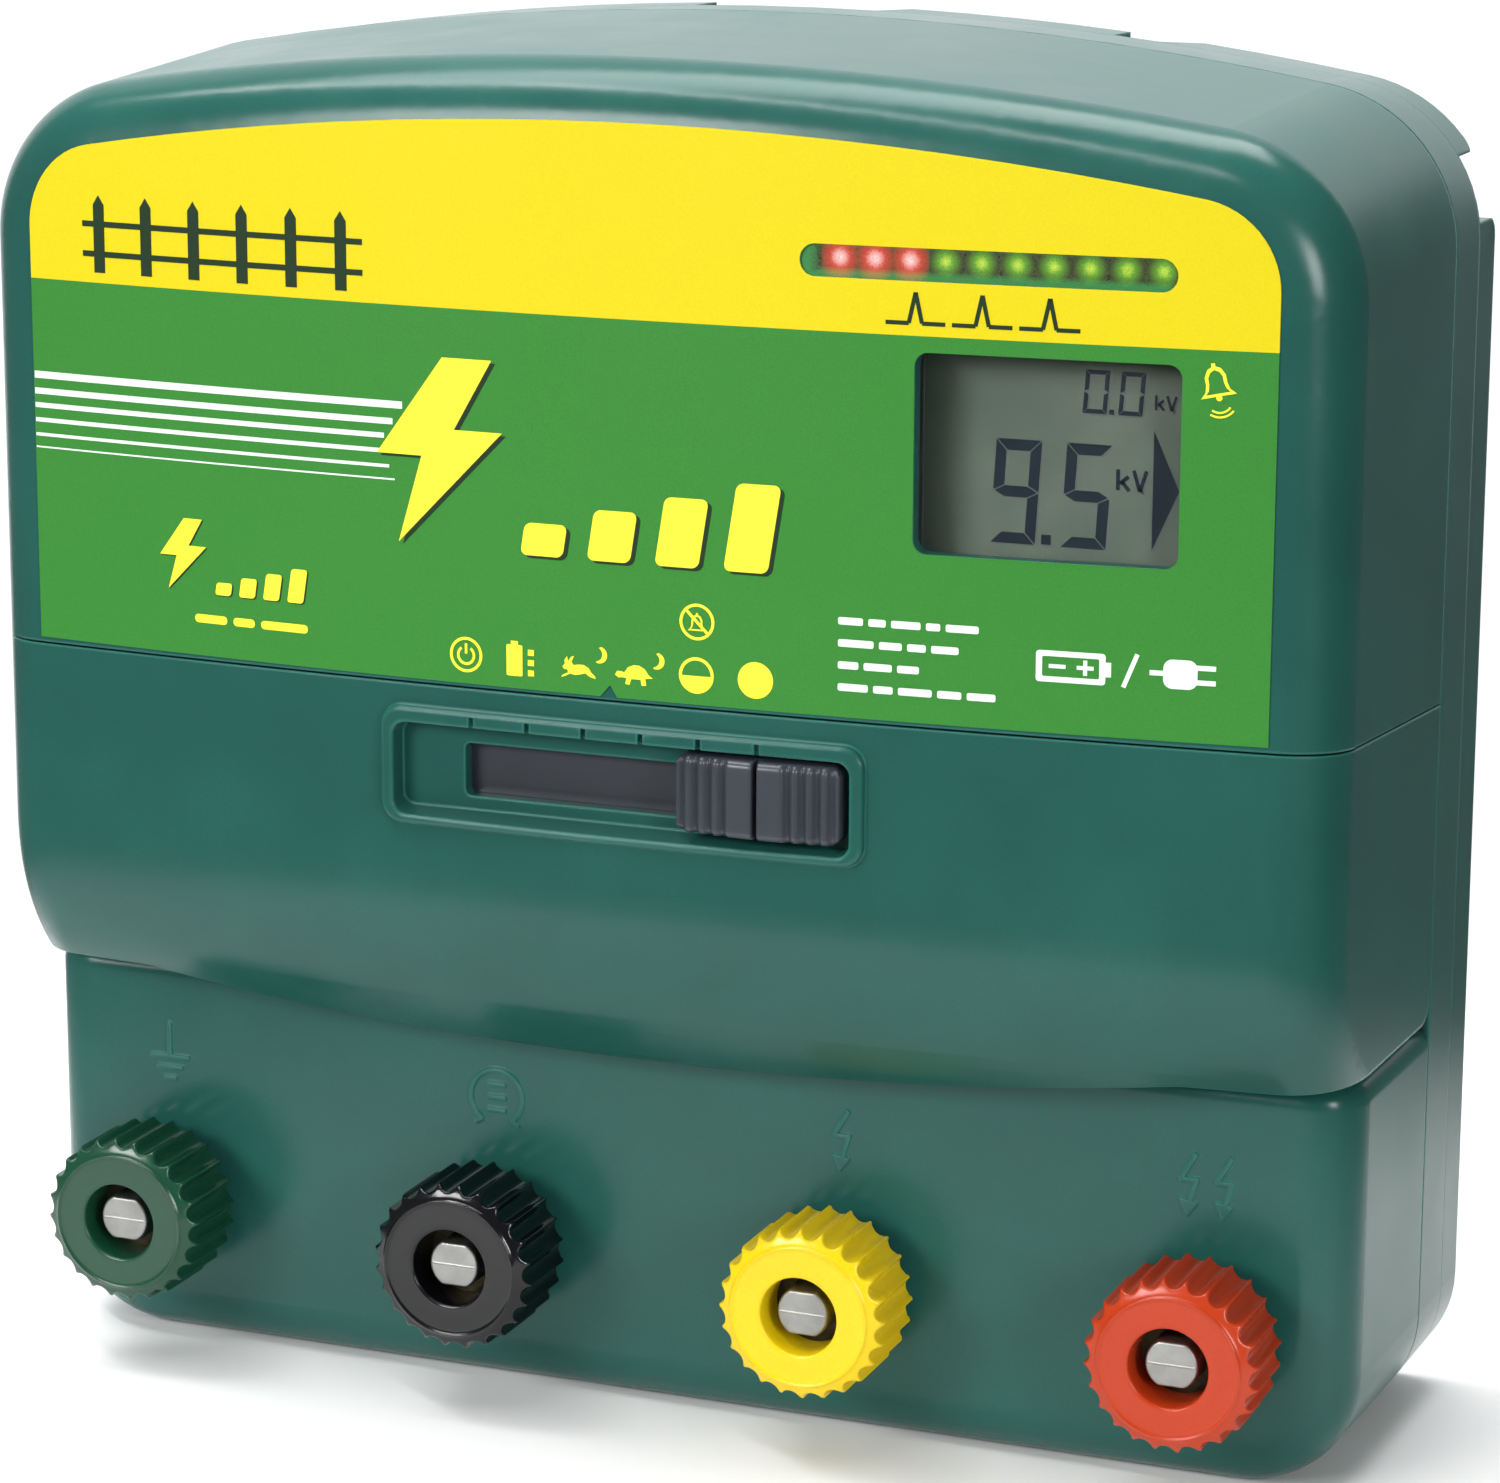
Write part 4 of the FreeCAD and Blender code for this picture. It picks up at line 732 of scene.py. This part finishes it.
TORTOISE = [[(-4.0, -0.3), (-3.6, 0.4), (-2.8, 0.4), (-2.2, 0.2), (-1.5, 1.2), (-0.4, 1.7), (0.7, 1.7),
             (1.8, 1.1), (2.6, 0.0), (3.4, -0.5), (2.4, -0.6), (1.9, -0.7), (2.1, -1.9), (1.2, -2.0),
             (1.0, -0.9), (-0.8, -0.9), (-1.2, -2.0), (-2.0, -1.9), (-1.8, -0.8), (-2.6, -0.7), (-3.3, -0.8)]]
BELL = [[(-3.2, -2.4), (-2.2, -1.4), (-1.9, -0.2), (-1.9, 1.2), (-1.2, 2.5), (-0.35, 2.9), (-0.35, 3.5),
         (0.35, 3.5), (0.35, 2.9), (1.2, 2.5), (1.9, 1.2), (1.9, -0.2), (2.2, -1.4), (3.2, -2.4)],
        [(-2.2, -1.9), (2.2, -1.9), (1.6, -1.2), (1.3, -0.1), (1.3, 1.0), (0.8, 1.9), (0.0, 2.3),
         (-0.8, 1.9), (-1.3, 1.0), (-1.3, -0.1), (-1.6, -1.2)]]
BELL_TILT = 12.0
POST_X0, POST_PITCH, POST_COUNT, POST_HALF = -105.5, 10.4, 6, 1.2
WIRE_GAP = 0.02


def in_box(shape, x0, z0, width, height):
    return [[(x0 + width * x, z0 + height * z) for x, z in loop] for loop in shape]


def moon(x, z):
    outer = arc_points(x, z, 1.55, -115, 75, 16)
    inner = arc_points(x - 0.75, z + 0.15, 1.35, 60, -80, 14)
    return [outer + inner]


def strength_bars(x0, z0, heights, width, pitch, corner, lean):
    shapes = []
    for i, height in enumerate(heights):
        left = x0 + pitch * i
        shapes.append(rounded(left, left + width, z0, z0 + height, corner, lean))
    return shapes


def main_mark():
    shapes = [in_box(BOLT, -46.5, 171.5, 25.5, 34.5)]
    return shapes + strength_bars(-17.5, 171.0, (6.0, 9.3, 12.6, 16.0), 8.4, 13.2, 1.3, 0.16)


def small_mark():
    shapes = [in_box(BOLT, -93.5, 158.4, 10.2, 13.6)]
    shapes += strength_bars(-81.5, 158.0, (2.4, 3.7, 5.0, 6.4), 3.4, 5.2, 0.6, 0.16)
    dashes = ((-86.0, 7.0), (-77.6, 4.6), (-71.6, 10.0))
    return shapes + [rounded(x, x + width, 152.4, 154.0, 0.7) for x, width in dashes]


def position_icons():
    """Marks over the six slider positions: off, battery, hare, tortoise, half and full."""
    z = 151.5
    shapes = [ring(-28.6, z, 3.3, 2.75), arc_band(-28.6, z - 0.1, 1.6, 0.5, 125, 415),
              rect(-28.85, -28.35, z + 0.2, z + 2.1)]
    shapes += [rounded(-20.4, -17.2, z - 3.1, z + 2.7, 0.3), rect(-19.5, -18.1, z + 2.6, z + 3.4)]
    shapes += [rect(-16.1, -14.9, z - 2.9 + 1.9 * i, z - 1.8 + 1.9 * i) for i in range(3)]
    shapes += shifted([HARE], -6.2, z - 0.8, 1.0) + [moon(-1.9, z + 2.2)]
    shapes += shifted([TORTOISE], 5.2, z - 0.8, 1.0) + [moon(9.3, z + 2.0)]
    shapes += [ring(17.0, z, 3.35, 2.75), [arc_points(17.0, z, 2.9, 182, 358, 24)]]
    return shapes + [disc(28.3, z, 3.35)]


def alarm_icons():
    clapper = disc(0.0, -2.7, 0.55, 16)
    rings = [arc_band(0.0, -3.0, 2.3, 0.35, 225, 315), arc_band(0.0, -3.0, 3.1, 0.35, 228, 312)]
    shapes = shifted(turned([BELL, clapper] + rings, BELL_TILT), 110.6, 209.4, 0.98)
    shapes += [ring(17.1, 161.3, 3.35, 2.8), stroke((15.0, 163.4), (19.2, 159.2), 0.55)]
    return shapes + shifted([BELL], 17.1, 161.0, 0.55)


def fence_emblem():
    """Generic fence: pointed posts, and two wires that stop at each post."""
    shapes = []
    posts = [POST_X0 + POST_PITCH * i for i in range(POST_COUNT)]
    for x in posts:
        left, right = x - POST_HALF, x + POST_HALF
        shapes.append([[(left, 216.9), (right, 216.9), (right, 229.6), (x, 231.4), (left, 229.6)]])
    starts = [posts[0] - 3.7] + [x + POST_HALF + WIRE_GAP for x in posts]
    stops = [x - POST_HALF - WIRE_GAP for x in posts] + [posts[-1] + 4.5]
    for z in (220.4, 226.0):
        shapes += [rect(x0, x1, z - 0.55, z + 0.55) for x0, x1 in zip(starts, stops)]
    return shapes


def pulse_line():
    """Flat line with three sharp pulses."""
    shapes = []
    for i in range(3):
        x = 52.0 + 12.0 * i
        points = [(x, 217.2), (x + 4.2, 217.2), (x + 5.4, 222.6), (x + 6.6, 217.2), (x + 10.8, 217.2)]
        shapes += [stroke(a, b, 0.75) for a, b in zip(points, points[1:])]
    return shapes


def caption_lines():
    """Rows of plain dashes where the label carries small print."""
    rows = ((162.9, (4.6, 3.2, 5.4, 2.6, 6.0)), (158.9, (6.6, 4.2, 3.4, 5.0)),
            (154.9, (3.8, 5.2, 4.0)), (150.9, (5.6, 3.6, 6.2, 4.4, 5.2)))
    shapes = []
    for z, lengths in rows:
        x = 43.8
        for length in lengths:
            shapes.append(rounded(x, x + length, z, z + 1.35, 0.35))
            x += length + 1.0
    return shapes


def supply_icons():
    """Battery and mains plug, side by side."""
    shapes = [[rounded(80.0, 92.4, 155.3, 160.9, 0.6)[0], rounded(81.1, 91.3, 156.3, 159.9, 0.3)[0]]]
    shapes += [rect(92.3, 93.4, 156.8, 159.4), rect(82.3, 85.3, 157.8, 158.5)]
    shapes += [rect(87.3, 90.3, 157.8, 158.5), rect(88.45, 89.15, 156.8, 159.5)]
    shapes += [stroke((95.6, 155.2), (98.0, 161.2), 0.8)]
    shapes += [rounded(102.6, 108.6, 155.5, 160.7, 1.6), rect(108.4, 111.8, 156.4, 157.3)]
    shapes += [rect(108.4, 111.8, 159.0, 159.9), rect(100.2, 102.8, 157.7, 158.6)]
    return shapes


def speed_stripes():
    """Stripes from the left edge to the main mark, thinner one by one."""
    stripes = ((196.7, 1.35, -41.2), (193.6, 1.15, -43.2), (190.9, 0.95, -45.0), (188.1, 0.8, -45.6),
               (185.3, 0.6, -44.0), (182.9, 0.3, -42.9))
    return [rect(-121.0, end, z - thick / 2, z + thick / 2) for z, thick, end in stripes]


def label_print():
    yellow = print_ink("ink_yellow", (0.93, 0.80, 0.05, 1))
    dark = print_ink("ink_dark", (0.016, 0.035, 0.016, 1))
    pale = print_ink("ink_pale", (0.74, 0.86, 0.76, 1))
    label_ink("print_main_shadow", shifted(main_mark(), 0.8, -0.5), dark, 0.03)
    label_ink("print_small_shadow", shifted(small_mark()[:5], 0.3, -0.2), dark, 0.03)
    label_ink("print_main_mark", main_mark(), yellow, 0.06)
    label_ink("print_small_mark", small_mark(), yellow, 0.06)
    label_ink("print_positions", position_icons(), yellow)
    label_ink("print_alarm_icons", alarm_icons(), yellow)
    label_ink("print_fence", fence_emblem(), dark)
    label_ink("print_pulse_line", pulse_line(), dark)
    label_ink("print_captions", caption_lines(), pale)
    label_ink("print_supply_icons", supply_icons(), pale)
    label_ink("print_stripes", speed_stripes(), pale, 0.02)


label_print()


# ---------------------------------------------------------------- display digits
def seven_segments(x0, z0, width, height, thick, lit, lean=0.06):
    """Segment outlines of one leaning digit. lit holds the letters of its lit segments."""
    gap, half, mid = thick * 0.07, thick / 2, height / 2
    upper = [(0.0, mid + gap), (thick, mid + half + gap), (thick, height - thick - gap), (0.0, height - gap)]
    bar = [(gap, height), (thick + gap, height - thick), (width - thick - gap, height - thick),
           (width - gap, height)]
    shapes = {
        "a": bar,
        "b": [(width - x, z) for x, z in upper],
        "c": [(width - x, height - z) for x, z in upper],
        "d": [(x, height - z) for x, z in bar],
        "e": [(x, height - z) for x, z in upper],
        "f": upper,
        "g": [(2 * gap, mid), (thick + gap, mid + half), (width - thick - gap, mid + half),
              (width - 2 * gap, mid), (width - thick - gap, mid - half), (thick + gap, mid - half)],
    }
    return [[[(x0 + x + lean * z, z0 + z) for x, z in shapes[key]]] for key in lit]


def volt_unit(x0, z0, size):
    """The unit beside a reading, in plain strokes."""
    w = size * 0.19
    shapes = [stroke((x0 + w / 2, z0), (x0 + w / 2, z0 + size), w)]
    shapes.append(stroke((x0 + w, z0 + size * 0.32), (x0 + size * 0.62, z0 + size * 0.68), w))
    shapes.append(stroke((x0 + w * 1.5, z0 + size * 0.42), (x0 + size * 0.66, z0), w))
    shapes.append(stroke((x0 + size * 0.86, z0 + size), (x0 + size * 1.18, z0), w))
    return shapes + [stroke((x0 + size * 1.50, z0 + size), (x0 + size * 1.18, z0), w)]


def display_segments():
    shapes = seven_segments(68.4, 177.9, 8.4, 18.6, 2.0, "abcdfg")
    shapes += seven_segments(81.4, 177.9, 8.4, 18.6, 2.0, "acdfg")
    shapes += seven_segments(85.1, 201.9, 4.4, 7.7, 0.8, "abcdef", 0.08)
    shapes += seven_segments(91.6, 201.9, 4.4, 7.7, 0.8, "abcdef", 0.08)
    shapes += [rect(78.0, 79.8, 178.1, 179.9), rect(90.0, 90.9, 201.9, 202.8)]
    shapes += volt_unit(91.5, 188.7, 3.7) + volt_unit(98.2, 203.2, 2.6)
    return shapes + [[[(98.2, 178.4), (103.0, 189.2), (98.2, 199.6)]]]


def display_print():
    shadow = print_ink("lcd_shadow", (0.055, 0.065, 0.06, 1))
    segment = print_ink("lcd_segment", (0.003, 0.008, 0.014, 1), 0.4)
    lcd_ink("lcd_shadows", shifted(display_segments(), 0.42, -0.34), shadow, 0.02)
    lcd_ink("lcd_segments", display_segments(), segment, 0.05)


display_print()


# ---------------------------------------------------------------- studio
BACKDROP, BACKDROP_EDGE, BACKDROP_LIGHT = (-0.40, 0.85, 0.34), (0.70, 0.76), 1.1
DARK_SIDE, DARK_EDGE, DARK_LIGHT = (0.6, 0.8, 0.0), (0.1, 0.6), 0.12
ROOM_LIGHT = 0.21
FLOOR_FADE = (0.24, 0.36)    # metres from the middle between which the floor thins out


def build_floor():
    """Pale round sheet under the object, fading into the backdrop."""
    bm = bmesh.new()
    bmesh.ops.create_grid(bm, x_segments=8, y_segments=8, size=900.0)
    material, tree, principled = shader("studio_floor", Roughness=0.6)
    place = object_place(tree)
    cloud = noise(tree, place, 900.0, 2.0)
    set_colour(tree, principled, blend_colour(tree, cloud, (0.84, 0.84, 0.84, 1), (0.87, 0.87, 0.87, 1)))
    distance = add(tree, "ShaderNodeVectorMath", {0: place}, operation="LENGTH").outputs["Value"]
    tree.links.new(remap(tree, distance, *FLOOR_FADE, 1.0, 0.0), principled.inputs["Alpha"])
    floor = mesh_object("studio_floor", bm, material)
    floor.location.z = -0.2 * MM


def build_world():
    """White backdrop behind, above and to the left, a dark wall behind to the right, a dim room elsewhere."""
    world = bpy.data.worlds.new("studio")
    world.use_nodes = True
    tree = world.node_tree
    background = tree.nodes["Background"]
    background.inputs["Color"].default_value = (0.97, 0.985, 1.0, 1)
    direction = add(tree, "ShaderNodeTexCoord").outputs["Generated"]
    room = remap(tree, dot(tree, direction, DARK_SIDE), *DARK_EDGE, ROOM_LIGHT, DARK_LIGHT)
    strength = remap(tree, dot(tree, direction, BACKDROP), *BACKDROP_EDGE, room, BACKDROP_LIGHT)
    tree.links.new(strength, background.inputs["Strength"])
    bpy.context.scene.world = world


def area_light(name, place, target, width, height, power):
    light = bpy.data.lights.new(name, "AREA")
    light.shape = "RECTANGLE"
    light.size, light.size_y = width, height
    light.energy = power
    obj = bpy.data.objects.new(name, light)
    bpy.context.scene.collection.objects.link(obj)
    obj.location = place
    obj.rotation_euler = (Vector(target) - Vector(place)).to_track_quat("-Z", "Y").to_euler()


def build_lights():
    middle = (0.0, 0.0, 0.14)
    area_light("overhead", (-0.1, 0.15, 1.2), middle, 1.2, 0.5, 18.0)
    area_light("ceiling_strip", (-0.3, -0.45, 1.2), middle, 1.5, 0.05, 8.5)
    area_light("front_left", (-0.75, -1.45, 0.75), middle, 0.7, 0.5, 22.5)
    area_light("front_right", (1.15, -0.9, 0.45), middle, 0.35, 0.5, 10.5)


def build_camera():
    right = Vector((0.92835, 0.37168, 0.00387))
    forward = Vector((-0.36163, 0.90555, -0.22185)).normalized()
    up = right.cross(forward).normalized()
    right = forward.cross(up)
    data = bpy.data.cameras.new("camera")
    data.sensor_width = 36.0
    data.lens = 116.14
    data.shift_x = 0.0035
    data.shift_y = -0.0164
    camera = bpy.data.objects.new("camera", data)
    bpy.context.scene.collection.objects.link(camera)
    turn = Matrix((right, up, -forward)).transposed().to_4x4()
    camera.matrix_world = Matrix.Translation((0.3395, -0.8318 + ORIGIN_SHIFT_Y * MM, 0.3368)) @ turn
    bpy.context.scene.camera = camera


build_floor()
build_world()
build_lights()
build_camera()
bpy.context.scene.view_settings.view_transform = "Standard"
